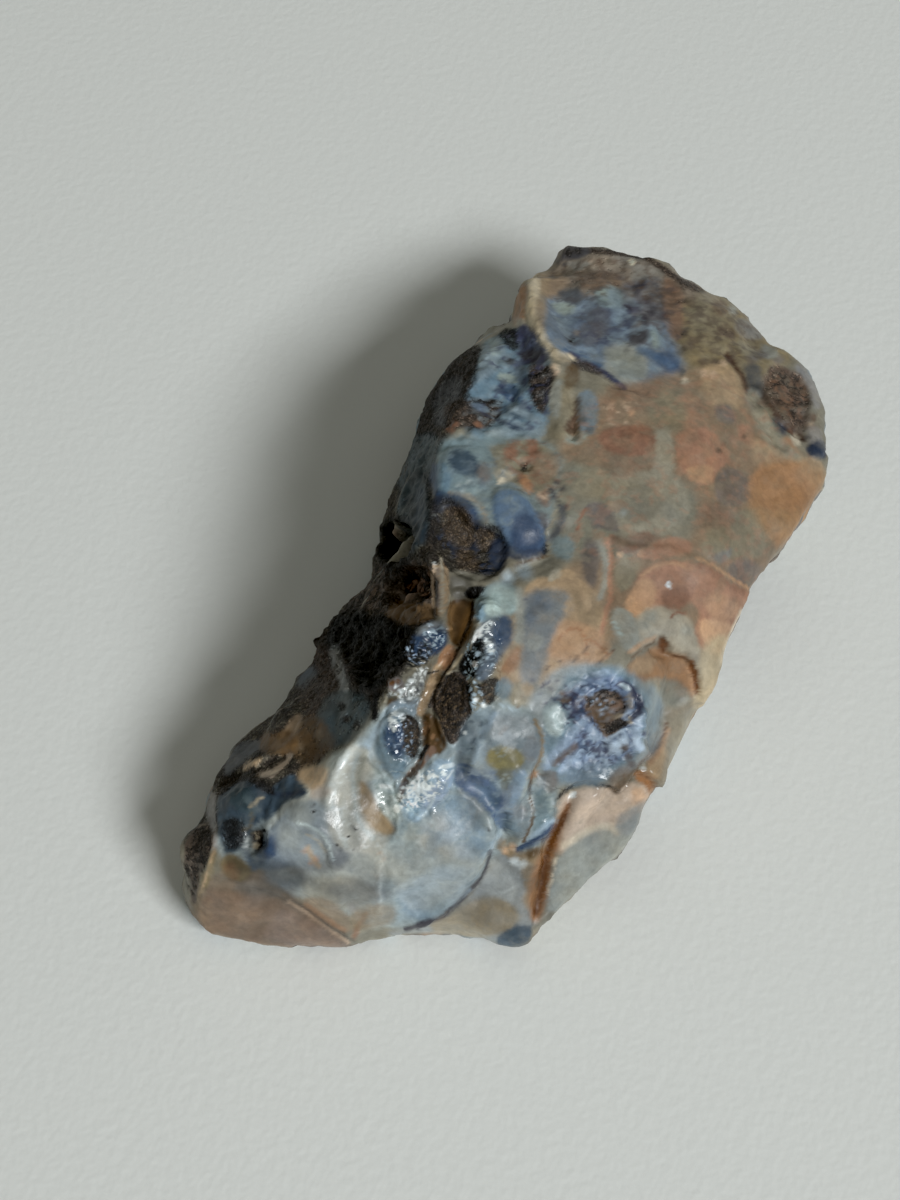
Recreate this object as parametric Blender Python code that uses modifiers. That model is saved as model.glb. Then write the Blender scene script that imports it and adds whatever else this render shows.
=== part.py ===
"""Rough boulder opal, one solid piece of ironstone and opal lying on its flat side.

The frame is the stone's own: +Y runs along its length to the broad far end, +X
runs across it to the thin undercut edge, +Z is up.  The origin is the middle of
the bounding box, on the surface that the stone rests on.  Positions below are
in millimetres and are turned into metres at the end.
"""

import math

import bmesh
import bpy
import numpy as np
from mathutils import Vector, noise
from mathutils.geometry import delaunay_2d_cdt

MM = 0.001
CREASE_ANGLE = math.radians(38.0)

# Driving dimensions of the finished stone, in millimetres.
LENGTH = 77.2
WIDTH = 38.6
HEIGHT = 24.6

# The grain that the stone is shaped in, and how many triangles are kept of it.
SHAPING_GRAIN = 0.62
KEPT_TRIANGLES = 9600
SOFTENING_PASSES = 3

# The outline that is widest seen from above, side by side, counter-clockwise.
# Each point is x, y and the height at which the stone is widest there.
THIN_EDGE = [
    (17.0, -23.0, 4.5), (19.0, -18.0, 6.5), (20.9, -13.3, 8.0), (20.5, -11.1, 10.5),
    (20.5, -6.8, 12.0), (20.5, -2.8, 13.0), (20.4, 1.3, 14.0), (19.9, 4.8, 15.0),
    (19.8, 10.4, 16.0), (19.8, 13.6, 16.0), (20.5, 16.8, 16.0), (21.0, 23.0, 15.0),
]
FAR_END = [
    (19.4, 26.6, 14.0), (17.3, 31.4, 14.0), (14.7, 34.4, 14.0), (10.4, 35.8, 14.0),
    (6.5, 37.8, 14.0), (1.4, 38.3, 14.0), (-1.7, 37.6, 14.0), (-4.7, 38.6, 14.0),
    (-9.1, 38.8, 13.0), (-13.2, 37.5, 12.0),
]
SHADED_FLANK = [
    (-14.4, 34.0, 12.0), (-14.6, 30.2, 12.0), (-13.9, 27.3, 12.0), (-16.0, 22.6, 11.0),
    (-17.4, 17.3, 9.0), (-16.6, 11.3, 7.0), (-15.9, 6.4, 6.0), (-14.0, 0.4, 6.0),
    (-12.7, -3.4, 6.0), (-13.6, -7.1, 6.0), (-13.3, -13.2, 7.0), (-13.6, -16.9, 7.0),
    (-14.1, -21.8, 7.0), (-14.9, -26.5, 8.0), (-14.1, -29.4, 8.0),
]
NEAR_END = [
    (-12.6, -31.9, 8.0), (-13.2, -33.4, 6.0), (-12.4, -36.0, 4.0), (-10.5, -37.9, 4.0),
    (-8.8, -38.3, 3.0), (-5.3, -36.9, 3.0), (-1.2, -35.1, 3.0), (2.9, -33.3, 3.5),
    (3.3, -31.6, 5.5), (5.2, -30.2, 6.0), (8.2, -28.9, 6.0), (11.5, -27.4, 5.0),
    (14.4, -26.2, 4.0), (16.1, -25.4, 4.0), (16.5, -24.2, 4.0),
]
# How far each side draws in from its widest line, at each of the rings below it.
DRAWN_IN = {
    "thin edge": (1.6, 3.6, 8.0),
    "far end": (0.6, 2.0, 6.5),
    "shaded flank": (0.4, 1.6, 6.0),
    "near end": (0.2, 0.8, 4.0),
}
# The rings' heights as a share of the widest line's, less a depth under the ground.
# What is under the ground is pressed flat in the end: the stone rests on it.
RINGS_BELOW = [(0.5, 0.0), (0.15, 0.0), (0.0, 1.1)]
# Faces that lie this close to the ground are brought down to it.
RESTING_BAND = 0.12

# The crest, from the far end to the near end, and spots beside it.
CREST = [
    (-13.0, 29.2, 16.0), (-11.4, 22.8, 19.0), (-11.4, 15.8, 21.0), (-9.2, 6.8, 23.0),
    (-7.6, 0.2, 24.0), (-6.2, -4.8, 24.0), (-3.0, -7.4, 23.6), (-1.4, -12.0, 24.0),
    (-0.6, -16.2, 22.8), (-0.8, -19.6, 22.0), (-1.6, -24.4, 19.8), (-2.8, -27.7, 17.2),
    (-5.8, -32.6, 12.8), (-9.2, -35.2, 9.6),
]
FLANK_SPOTS = [
    (-15.0, 23.4, 15.5), (-15.3, 16.8, 15.5), (-13.2, 8.0, 15.5), (-11.4, 0.2, 15.5),
    (-9.6, -2.7, 16.0), (-7.8, -8.5, 17.0), (-6.4, -13.0, 18.0), (-6.8, -17.5, 17.5),
    (-7.8, -22.5, 16.0), (-8.6, -26.6, 15.0), (-9.8, -30.0, 13.5), (-10.8, -33.4, 10.5),
]
TOP_SPOTS = [
    (-8.6, 33.0, 16.0), (-2.4, 33.4, 17.0), (3.4, 32.4, 17.2), (10.6, 29.8, 17.4),
    (14.8, 27.6, 16.8), (17.8, 23.2, 17.0), (-3.6, 25.2, 19.0), (5.6, 23.0, 20.2),
    (-3.6, 16.2, 22.0), (10.2, 17.0, 21.4), (3.0, 11.4, 22.8), (-3.4, 4.0, 23.6),
    (2.0, 0.4, 23.4), (9.0, 3.0, 22.8), (16.6, 12.6, 19.2), (15.8, 2.0, 20.0),
    (8.4, -6.2, 22.6), (16.2, -6.4, 19.6), (3.2, -5.6, 23.2), (15.0, -12.4, 18.2),
]
GROOVE_FLOOR = [(-0.8, -8.0, 22.8), (1.2, -12.5, 22.0), (2.6, -17.0, 21.0), (3.2, -22.0, 18.8)]
GROOVE_BANK = [(3.4, -11.6, 23.6), (5.4, -15.2, 22.6), (6.4, -19.0, 20.4)]
NEAR_SLOPE = [
    (7.8, -12.2, 21.6), (10.6, -14.2, 20.2), (8.6, -17.2, 20.0), (11.4, -18.8, 17.4),
    (13.6, -16.0, 16.0), (16.8, -14.2, 14.8), (19.6, -11.4, 13.4), (0.4, -26.2, 17.0),
    (4.6, -22.6, 18.0), (-3.0, -30.2, 15.2), (0.0, -30.4, 14.2), (7.4, -25.6, 14.2),
    (4.0, -29.8, 11.4), (11.2, -22.9, 13.6), (11.0, -25.4, 11.4), (8.6, -29.6, 8.2),
]
# Spots on the three broken faces at the near end.
PINK_CLIFF_TOP = [(-9.4, -36.0, 9.8), (-5.8, -34.8, 10.2), (-1.6, -33.9, 8.6), (2.8, -33.0, 5.4)]
GREY_SCAR = [(13.0, -23.4, 9.6), (12.4, -27.2, 6.6), (14.2, -20.6, 11.4), (15.4, -24.8, 5.6)]
PEACH_SCAR = [(14.8, -16.4, 14.0), (19.8, -11.8, 12.0), (18.0, -15.6, 10.2), (15.8, -20.0, 9.2)]

# Strokes along a path: its points, half width, and rise (below zero it is cut in).
RIDGES_AND_GROOVES = [
    # the brown crevice beside the crest, and the thin fin at its head
    ([(0.2, -8.6, 22.0), (1.4, -12.0, 21.0), (1.6, -15.4, 20.6), (2.6, -18.6, 19.6)], 1.0, -0.8),
    ([(2.6, -18.6, 19.6), (2.9, -20.7, 18.8), (3.0, -22.8, 18.0)], 0.8, -0.5),
    ([(-3.4, -6.4, 24.2), (-1.6, -9.2, 24.2), (-0.2, -11.4, 23.4)], 0.8, 1.3),
    # the rough blue-black ridge on the far bank of the crevice
    ([(3.2, -9.2, 23.6), (3.0, -12.0, 23.2), (5.0, -13.4, 22.8), (6.8, -15.4, 22.2)], 1.1, 0.9),
    # the pale welt that bounds the mottled corner
    ([(-12.9, 28.4, 16.5), (-9.9, 24.2, 18.5), (-6.8, 20.6, 20.0), (-4.1, 17.7, 21.0)], 1.1, 0.9),
    # the crust along the far end
    ([(-12.0, 36.0, 14.0), (-6.0, 36.6, 15.0), (0.6, 35.4, 15.6), (6.6, 34.0, 16.0)], 1.6, 0.8),
    # the crack between the grey and the peach scars
    ([(14.4, -16.6, 14.4), (15.0, -19.6, 10.4), (16.2, -23.4, 5.6)], 0.7, -0.9),
    # the fold that runs down the near slope
    ([(9.6, -18.2, 18.0), (11.0, -20.8, 15.6), (11.4, -22.4, 14.0)], 1.2, 0.6),
]
# Ledges: the surface on one side of the path lies lower, and comes back to its
# own height over the reach.  Looking along the path the lower side is on the
# right for a positive drop and on the left for a negative one.
LEDGES = [
    # the lip above the peach scar
    ([(21.4, -4.3, 15.0), (20.1, -9.7, 14.2), (20.0, -12.0, 13.6), (18.6, -14.2, 14.2),
      (16.7, -14.4, 15.6), (14.8, -16.4, 15.0)], 1.3, 6.0),
    # the chipped edge of the glossy lobe above the grey scar
    ([(11.0, -22.4, 14.0), (11.1, -24.8, 11.5), (10.5, -27.2, 9.2), (8.4, -30.2, 6.6)], -1.3, 5.0),
    # the tan scar on the thin edge
    ([(20.4, -2.8, 15.8), (18.0, -0.6, 17.6), (15.3, -2.3, 19.6), (14.7, -5.6, 20.0)], -0.9, 5.5),
    # the upper edge of the pink cliff
    ([(3.2, -32.6, 6.0), (-1.4, -33.4, 9.2), (-5.6, -34.2, 10.8), (-9.6, -35.4, 10.4)], -0.8, 3.0),
    # the sunken mottled corner beside the pale welt
    ([(-13.4, 27.6, 16.4), (-10.8, 23.4, 18.6), (-7.6, 19.6, 20.4), (-6.0, 13.0, 22.4)], 0.9, 6.5),
    # the long step that closes the blue ovals towards the crevice
    ([(-8.0, 1.6, 23.6), (-3.6, -1.6, 24.0), (1.8, -0.8, 23.6), (3.4, 1.4, 23.4)], 0.9, 5.0),
    # the stepped chips where the near slope meets the peach scar
    ([(9.6, -18.2, 17.6), (12.0, -19.0, 16.0), (13.4, -18.2, 15.6)], 0.8, 3.6),
]
LEDGE_WIDTH = 0.6
# Lumps and hollows: centre, radius, and rise (below zero it is a hollow).
LUMPS_AND_HOLLOWS = [
    # three glossy lumps on the crest beside the crevice
    ((-0.6, -13.6, 23.8), 2.3, 0.9), ((-0.8, -17.6, 22.8), 2.2, 0.9), ((0.4, -21.0, 21.2), 2.5, 0.8),
    # the rough dark lump on the far bank
    ((3.9, -16.7, 21.4), 2.6, 0.3),
    # hollows of dark ironstone in the shaded flank
    ((-8.0, -14.0, 16.6), 4.6, -1.2), ((-3.8, -15.6, 19.8), 3.2, -0.9),
    ((-10.2, -3.0, 15.4), 2.8, -1.3), ((-5.0, -8.8, 19.8), 2.4, -1.2),
    # knobs along the flank and at the near corner
    ((-14.8, 11.6, 11.0), 4.0, 0.7), ((-10.6, -21.4, 12.6), 3.6, 0.9), ((-10.4, -29.4, 13.2), 4.0, 0.9),
    ((-9.2, -25.6, 15.0), 2.2, -0.8), ((-12.6, -33.8, 7.4), 3.2, 1.3), ((-11.6, -32.0, 10.4), 1.6, -0.9),
    # knobs and hollows of the far crust
    ((-12.6, 36.4, 13.6), 2.4, 0.9), ((-3.2, 36.6, 15.0), 2.6, 0.8), ((8.6, 33.8, 15.6), 3.0, -0.9),
    ((16.4, 28.8, 16.0), 3.4, 0.9), ((19.8, 25.2, 15.6), 2.0, 0.8), ((12.6, 31.0, 16.4), 2.6, 0.6),
    # swellings and dips of the blue and rusty top
    ((-6.6, 29.6, 18.0), 4.2, 0.7), ((0.8, 28.2, 18.8), 3.6, 0.6), ((4.6, 24.4, 20.0), 3.0, -0.6),
    ((-5.0, 4.6, 23.8), 3.0, 0.7), ((-0.6, 1.6, 23.8), 3.2, 0.7), ((6.6, 14.0, 22.4), 5.0, 0.5),
    ((13.0, 19.4, 20.6), 4.0, -0.6), ((14.8, 8.0, 20.4), 4.6, 0.6), ((10.4, 0.6, 22.4), 4.2, -0.6),
    ((-2.0, -3.4, 23.6), 3.2, -0.8), ((-1.2, 9.4, 23.0), 1.2, -0.6),
    # the eroded rosette: a swollen ring round a pit
    ((15.0, -10.6, 18.8), 5.4, 0.9), ((15.0, -10.2, 19.6), 2.0, -1.6),
    # the bowl-shaped scars and bulges of the glossy near slope
    ((2.8, -25.0, 17.4), 3.4, -0.9), ((-2.4, -29.2, 15.6), 4.2, 0.9), ((6.4, -27.0, 13.4), 4.4, 0.9),
    ((8.4, -16.6, 20.2), 3.2, 0.6), ((13.6, -25.0, 8.2), 3.4, -0.7), ((18.2, -15.6, 10.4), 3.6, -0.6),
    # hollows in the underside
    ((-6.0, 21.0, -1.1), 8.0, -2.6), ((9.0, 6.0, -1.1), 8.0, -2.2), ((-5.0, -27.0, -1.1), 6.5, -2.4),
    # the underside of the overhanging edges, scooped out
    ((22.0, 8.0, 6.0), 7.5, -1.6), ((22.0, -6.0, 4.0), 6.0, -1.2), ((3.0, 38.0, 6.0), 7.0, -1.0),
]
# Roughness over the whole stone: size of the bumps, and how far they stand.
ROUGHNESS = [(6.5, 0.45), (3.0, 0.28), (1.6, 0.12)]
# Shell-shaped chips that meet in sharp ridges: width, depth on the sides, on top.
CHIPS = [(7.5, 0.95, 0.42), (3.6, 0.40, 0.22)]
# How much a chip lowers its middle, as a share of its depth; its ridges rise above the stone.
CHIP_LEVEL = 0.25


def outline_points():
    """Return the widest line and, for each point, how far the side draws in."""
    sides = [
        ("thin edge", THIN_EDGE), ("far end", FAR_END),
        ("shaded flank", SHADED_FLANK), ("near end", NEAR_END),
    ]
    points = [Vector(point) for _, side in sides for point in side]
    insets = [DRAWN_IN[name] for name, side in sides for _ in side]
    count = len(points)
    blended = []
    for index in range(count):
        near = [insets[(index + step) % count] for step in (-1, 0, 1)]
        blended.append(tuple(sum(values) / 3.0 for values in zip(*near)))
    return points, blended


def drawn_in(points, distances, height_share, depth):
    """Return the ring of points moved inwards, level with the ground, at new heights."""
    count = len(points)
    ring = []
    for index, point in enumerate(points):
        along = points[(index + 1) % count] - points[index - 1]
        inward = Vector((-along.y, along.x, 0.0)).normalized()
        moved = point + inward * distances[index]
        ring.append(Vector((moved.x, moved.y, point.z * height_share - depth)))
    return ring


def rough_block():
    """Build the closed block: a surface through the spots, and walls down to the foot."""
    rim, insets = outline_points()
    spots = [Vector(spot) for spot in CREST + FLANK_SPOTS + TOP_SPOTS + GROOVE_FLOOR
             + GROOVE_BANK + NEAR_SLOPE + PINK_CLIFF_TOP + GREY_SCAR + PEACH_SCAR]
    points = rim + spots
    rim_count = len(rim)
    rim_edges = [(index, (index + 1) % rim_count) for index in range(rim_count)]
    flat = [point.to_2d() for point in points]
    inside_outline = 1
    places, _, faces, sources, _, _ = delaunay_2d_cdt(flat, rim_edges, [], inside_outline, 0.0001)

    bm = bmesh.new()
    top = {}
    for place, source in zip(places, sources):
        top[source[0]] = bm.verts.new((place.x, place.y, points[source[0]].z))
    order = [source[0] for source in sources]
    for face in faces:
        bm.faces.new([top[order[index]] for index in face])
    upper = [top[index] for index in range(rim_count)]
    for ring, (height_share, depth) in enumerate(RINGS_BELOW):
        distances = [inset[ring] for inset in insets]
        lower = [bm.verts.new(place) for place in drawn_in(rim, distances, height_share, depth)]
        for index in range(rim_count):
            after = (index + 1) % rim_count
            bm.faces.new((upper[index], lower[index], lower[after], upper[after]))
        upper = lower
    bm.faces.new(upper)
    bmesh.ops.recalc_face_normals(bm, faces=bm.faces)
    bmesh.ops.triangulate(bm, faces=bm.faces)
    mesh = bpy.data.meshes.new("rough_block")
    bm.to_mesh(mesh)
    bm.free()
    return mesh


def with_modifiers(thing, *settings):
    """Apply modifiers, each given as its type and its values, to the object's mesh."""
    for kind, values in settings:
        modifier = thing.modifiers.new(kind.lower(), kind)
        for name, value in values.items():
            setattr(modifier, name, value)
    depsgraph = bpy.context.evaluated_depsgraph_get()
    mesh = bpy.data.meshes.new_from_object(thing.evaluated_get(depsgraph))
    thing.modifiers.clear()
    thing.data = mesh


def read_array(values, name):
    """Return one three-part value of each item, such as its place, as an array."""
    numbers = np.empty(len(values) * 3)
    values.foreach_get(name, numbers)
    return numbers.reshape(-1, 3)


def write_places(mesh, places):
    """Put the array of places back into the mesh."""
    mesh.vertices.foreach_set("co", places.ravel())
    mesh.update()


def falloff(distance, radius):
    """Return 1 at the middle, falling smoothly to 0 at the radius."""
    inside = np.clip(1.0 - distance / radius, 0.0, 1.0)
    return inside * inside * (3.0 - 2.0 * inside)


def nearest_on_path(places, path):
    """Return each place's distance to the path, and on which side it lies from above."""
    best = np.full(len(places), np.inf)
    side = np.zeros(len(places))
    for start, end in zip(path, path[1:]):
        start = np.array(start)
        along = np.array(end) - start
        share = np.clip((places - start) @ along / (along @ along), 0.0, 1.0)
        away = places - (start + share[:, None] * along)
        distance = np.linalg.norm(away, axis=1)
        flat_length = np.hypot(along[0], along[1])
        to_right = (along[1] * away[:, 0] - along[0] * away[:, 1]) / flat_length
        closer = distance < best
        best = np.where(closer, distance, best)
        side = np.where(closer, to_right, side)
    return best, side


def shaped(places, normals):
    """Return the places after every stroke, ledge, lump, hollow and roughness."""
    rise = np.zeros(len(places))
    for path, half_width, height in RIDGES_AND_GROOVES:
        distance, _ = nearest_on_path(places, path)
        rise += height * falloff(distance, half_width * 2.0)
    for path, drop, reach in LEDGES:
        distance, side = nearest_on_path(places, path)
        lower_side = np.clip(np.sign(drop) * side / LEDGE_WIDTH + 0.5, 0.0, 1.0)
        rise -= abs(drop) * lower_side * falloff(distance, reach)
    for centre, radius, height in LUMPS_AND_HOLLOWS:
        distance = np.linalg.norm(places - np.array(centre), axis=1)
        rise += height * falloff(distance, radius)
    for size, height in ROUGHNESS:
        rise += height * np.array([noise.noise(Vector(place) / size) for place in places])
    on_top = np.clip(normals[:, 2], 0.0, 1.0) ** 2
    for width, side_depth, top_depth in CHIPS:
        from_middle = np.array([noise.voronoi(Vector(place) / width)[0][0] for place in places])
        depth = side_depth + (top_depth - side_depth) * on_top
        rise += depth * (from_middle ** 2 - CHIP_LEVEL)
    return places + normals * rise[:, None]


def pressed_flat(places, band):
    """Return the places with all that lies below the band's height brought to zero."""
    flat = places.copy()
    flat[:, 2] = np.where(places[:, 2] < band, 0.0, places[:, 2])
    return flat


def fit_to_size(mesh):
    """Bring the stone to its driving dimensions in metres, standing on its origin."""
    places = read_array(mesh.vertices, "co")
    low = places.min(axis=0)
    high = places.max(axis=0)
    middle = (low + high) / 2.0
    middle[2] = low[2]
    size = np.array([WIDTH, LENGTH, HEIGHT])
    write_places(mesh, (places - middle) * size / (high - low) * MM)


def opal_material():
    """Return the stone's overall finish: grey-brown, with a soft gloss."""
    material = bpy.data.materials.new("opal and ironstone")
    material.use_nodes = True
    shader = material.node_tree.nodes["Principled BSDF"]
    shader.inputs["Base Color"].default_value = (0.19, 0.17, 0.15, 1.0)
    shader.inputs["Roughness"].default_value = 0.35
    shader.inputs["Metallic"].default_value = 0.0
    return material


def main():
    for thing in list(bpy.data.objects):
        bpy.data.objects.remove(thing)
    parts = bpy.data.collections.new("boulder opal")
    bpy.context.scene.collection.children.link(parts)
    stone = bpy.data.objects.new("boulder_opal", rough_block())
    parts.objects.link(stone)

    with_modifiers(
        stone,
        ("REMESH", {"mode": "VOXEL", "voxel_size": SHAPING_GRAIN}),
        ("SMOOTH", {"factor": 0.5, "iterations": SOFTENING_PASSES}))
    places = read_array(stone.data.vertices, "co")
    normals = read_array(stone.data.vertex_normals, "vector")
    write_places(stone.data, pressed_flat(shaped(places, normals), 0.0))
    faces = 2 * len(stone.data.polygons)
    with_modifiers(
        stone,
        ("DECIMATE", {"ratio": KEPT_TRIANGLES / faces, "use_collapse_triangulate": True}))
    places = read_array(stone.data.vertices, "co")
    write_places(stone.data, pressed_flat(places, RESTING_BAND))
    fit_to_size(stone.data)
    stone.data.materials.clear()
    stone.data.materials.append(opal_material())
    stone.data.shade_smooth()
    stone.data.set_sharp_from_angle(angle=CREASE_ANGLE)


main()
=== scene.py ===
"""The looks of a rough boulder opal: one stone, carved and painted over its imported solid.

The stone's mesh is made again, finer, from the solid.  Its marks are drawn as
outlines and lines where the photograph shows them, in the photograph's pixels,
and are cast on the stone along the camera's rays.  Sides that the photograph
doesn't show get the same minerals in patterns made from noise.
"""

import itertools
import math

import bmesh
import bpy
import numpy as np
from mathutils import Matrix, Vector
from mathutils.bvhtree import BVHTree


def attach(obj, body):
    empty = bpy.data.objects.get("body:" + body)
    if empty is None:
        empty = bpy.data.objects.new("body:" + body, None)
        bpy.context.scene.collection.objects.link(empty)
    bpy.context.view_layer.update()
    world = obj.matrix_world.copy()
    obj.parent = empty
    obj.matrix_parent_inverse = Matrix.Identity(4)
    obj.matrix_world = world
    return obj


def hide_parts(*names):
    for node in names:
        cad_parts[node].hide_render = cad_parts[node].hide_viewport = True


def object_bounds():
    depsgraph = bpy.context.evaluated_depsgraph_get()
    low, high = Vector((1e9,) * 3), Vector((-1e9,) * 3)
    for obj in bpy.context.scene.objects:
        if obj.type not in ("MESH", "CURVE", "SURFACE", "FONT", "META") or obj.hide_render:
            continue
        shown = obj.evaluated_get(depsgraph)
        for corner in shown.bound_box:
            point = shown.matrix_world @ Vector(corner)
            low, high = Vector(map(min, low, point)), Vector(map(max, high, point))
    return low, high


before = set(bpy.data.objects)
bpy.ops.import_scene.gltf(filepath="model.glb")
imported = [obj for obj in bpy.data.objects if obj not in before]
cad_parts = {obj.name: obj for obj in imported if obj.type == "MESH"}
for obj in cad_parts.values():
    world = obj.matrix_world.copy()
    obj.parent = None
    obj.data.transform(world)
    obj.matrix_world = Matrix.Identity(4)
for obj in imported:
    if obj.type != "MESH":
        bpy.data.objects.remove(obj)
CAD_LOW, CAD_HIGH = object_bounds()

MM = 0.001

# The photograph's frame in pixels, and the camera that took it, in millimetres.
PHOTO_WIDE = 900
PHOTO_TALL = 1200
LENS = 60.0
SENSOR_TALL = 36.0
FOCAL_PIXELS = LENS / SENSOR_TALL * PHOTO_TALL
PIXELS_PER_MM = 11.0
CAMERA_ELEVATION = math.radians(60.0)
STONE_TURN = math.radians(29.0)
AIMED_PLACE = np.array([-1.53, -0.48, 10.0])
AIMED_PIXEL = (505.0, 600.0)

# The stone's fine mesh: the size of its quads where it shows is half of this,
# and a quarter of it on the glittering crest, whose outline is in pixels.
COARSE_GRAIN = 0.575
CREST_OUTLINE = [
    (402, 612), (428, 556), (452, 560), (474, 582), (498, 608), (500, 706), (478, 716), (460, 752),
    (456, 790), (432, 822), (376, 838), (354, 820), (370, 740), (396, 670)]
# Faces that are turned further away from the camera than this keep the coarse grain.
TURNED_AWAY = -0.05

# Light: where the window lies, seen from the stone, and how large and bright it is,
# in metres and watts.  The ceiling and the room fill its shadows.
WINDOW_SIDE = math.radians(47.0)
WINDOW_ELEVATION = math.radians(40.0)
WINDOW_DISTANCE = 2.2
WINDOW_WIDE = 0.88
WINDOW_TALL = 0.53
WINDOW_POWER = 43.0
WINDOW_COLOUR = (0.97, 0.99, 1.0)
ROOM_LIGHT = 0.06
ROOM_COLOUR = (1.0, 1.0, 0.88, 1.0)
CEILING_HEIGHT = 1.2
CEILING_SIZE = 1.6
CEILING_POWER = 2.7
CEILING_COLOUR = (1.0, 1.0, 0.9)

# The floor: its colour, how far it reaches in metres, and its dimples in millimetres.
FLOOR_COLOUR = (0.745, 0.765, 0.745)
FLOOR_REACH = 3.0
DIMPLE_SIZE = 0.9
DIMPLE_DEPTH = 0.07
# What the floor's own colour is, over how light the photograph shows it.
PHOTO_TO_STONE = 1.34
# How far the marks' edges wander, in pixels.
WANDER = 3.0
# A vertex that the photograph shows less well than this takes no relief and no mark.
LEAST_SEEN = 0.01
# How soft a ledge's break is to each side, in pixels.
LEDGE_SOFTNESS = 2.5
# How soft the edges of blotches are, in the noise's own units.
BLOTCH_SOFTNESS = 0.12
# Light below this level is shown as black, as the photograph's camera does.
BLACK_LEVEL = 0.0045

# How strongly the window, the ceiling and the room light a face that looks at them.
WINDOW_SHARE = 2.85
CEILING_SHARE = 0.38
ROOM_SHARE = 0.19
# The least and the most light that a face counts as having, over the floor's. A face lit less than the
# least keeps part of its shade painted in its colour; one lit more than the most keeps part of its light.
LIGHT_LIMITS = (0.62, 1.6)

# Unevenness that isn't drawn, as heights and sizes in millimetres: on hidden sides,
# on the whole stone, and on ironstone alone.
HIDDEN_LUMPS = (0.30, 2.6)
LOW_LUMPS = (0.05, 1.6)
FINE_LUMPS = (0.025, 0.7)
ROCK_LUMPS = (0.09, 0.55)
ROCK_GRAINS = (0.05, 0.3)

# The material's patterns, as sizes in millimetres.
DRAFT_MIX_SIZE = 0.42
GRAIN_SIZE = 0.18
ROCK_EDGE_SIZE = 0.45
CLOUD_SIZE = 0.5
STREAK_SIZE = 0.8
FINE_BUMP_SIZE = 0.35
BUMP_DEPTH = 0.12
# How strongly opal bends light.
OPAL_IOR = 1.45


def photo_axes():
    """Return the camera's right, up and backward directions in the stone's frame."""
    back = Vector((0.0, -math.cos(CAMERA_ELEVATION), math.sin(CAMERA_ELEVATION)))
    right = Vector((1.0, 0.0, 0.0))
    turn = Matrix.Rotation(STONE_TURN, 3, "Z")
    return [turn @ right, turn @ back.cross(right), turn @ back]


RIGHT, UP, BACK = (np.array(axis) for axis in photo_axes())
CAMERA_DISTANCE = FOCAL_PIXELS / PIXELS_PER_MM
CAMERA_PLACE = AIMED_PLACE + CAMERA_DISTANCE * (
    BACK
    - RIGHT * (AIMED_PIXEL[0] - PHOTO_WIDE / 2) / FOCAL_PIXELS
    + UP * (AIMED_PIXEL[1] - PHOTO_TALL / 2) / FOCAL_PIXELS)


def window_direction():
    """Return the direction from the stone to the window."""
    toward_viewer = np.array([BACK[0], BACK[1], 0.0]) / math.cos(CAMERA_ELEVATION)
    level = math.cos(WINDOW_SIDE) * RIGHT + math.sin(WINDOW_SIDE) * toward_viewer
    return (math.cos(WINDOW_ELEVATION) * level
            + math.sin(WINDOW_ELEVATION) * np.array([0.0, 0.0, 1.0]))


WINDOW_DIRECTION = window_direction()


def photo_pixels(places):
    """Return where in the photograph each place falls, in pixels."""
    from_camera = places - CAMERA_PLACE
    depth = -(from_camera @ BACK)
    across = PHOTO_WIDE / 2 + FOCAL_PIXELS * (from_camera @ RIGHT) / depth
    down = PHOTO_TALL / 2 - FOCAL_PIXELS * (from_camera @ UP) / depth
    return np.stack([across, down], axis=1)


# Noise.

def scrambled(cells, seed):
    """Return a repeatable random number from 0 to 1 for each whole-numbered cell."""
    mixed = (cells[:, 0] * 374761393 + cells[:, 1] * 668265263
             + cells[:, 2] * 2147483647 + seed * 974711) & 0xFFFFFFFF
    mixed = ((mixed ^ (mixed >> 13)) * 1274126177) & 0xFFFFFFFF
    mixed = ((mixed ^ (mixed >> 16)) * 2246822519) & 0xFFFFFFFF
    return ((mixed ^ (mixed >> 15)) & 0xFFFFFF) / 0xFFFFFF


def soft_noise(places, size, seed=0):
    """Return smooth noise, about -1 to 1, whose bumps are as wide as the size."""
    scaled = places / size
    base = np.floor(scaled).astype(np.int64)
    part = scaled - base
    fade = part ** 3 * (part * (part * 6.0 - 15.0) + 10.0)
    total = np.zeros(len(places))
    for corner in itertools.product((0, 1), repeat=3):
        cells = base + corner
        weight = np.prod(np.where(corner, fade, 1.0 - fade), axis=1)
        toward = part - corner
        for axis in range(3):
            slope = scrambled(cells, seed * 3 + axis) * 2.0 - 1.0
            total += weight * slope * toward[:, axis]
    return total * 1.6


def rough_noise(places, size, seed=0, layers=3):
    """Return noise of several sizes, each half as wide and high as the one before."""
    total = np.zeros(len(places))
    for layer in range(layers):
        total += soft_noise(places, size / 2 ** layer, seed + layer) / 2 ** layer
    return total


def lumps(places, height_and_size, seed):
    """Return smooth unevenness of a height and a size in millimetres."""
    height, size = height_and_size
    return height * soft_noise(places, size, seed)


def ramp(values, low, high):
    """Return 0 below the low value, 1 above the high one, and a smooth rise between."""
    share = np.clip((values - low) / (high - low), 0.0, 1.0)
    return share * share * (3.0 - 2.0 * share)


# Distances to outlines and lines drawn on the photograph.

def rounded(points, closed):
    """Return the outline or path with its corners cut twice."""
    corners = np.array(points, float)
    for _ in range(2):
        after = np.roll(corners, -1, axis=0)
        before = corners
        if not closed:
            before, after = corners[:-1], corners[1:]
        quarter = before * 0.75 + after * 0.25
        three = before * 0.25 + after * 0.75
        cut = np.stack([quarter, three], axis=1).reshape(-1, 2)
        corners = cut if closed else np.vstack([corners[:1], cut, corners[-1:]])
    return corners


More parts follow.
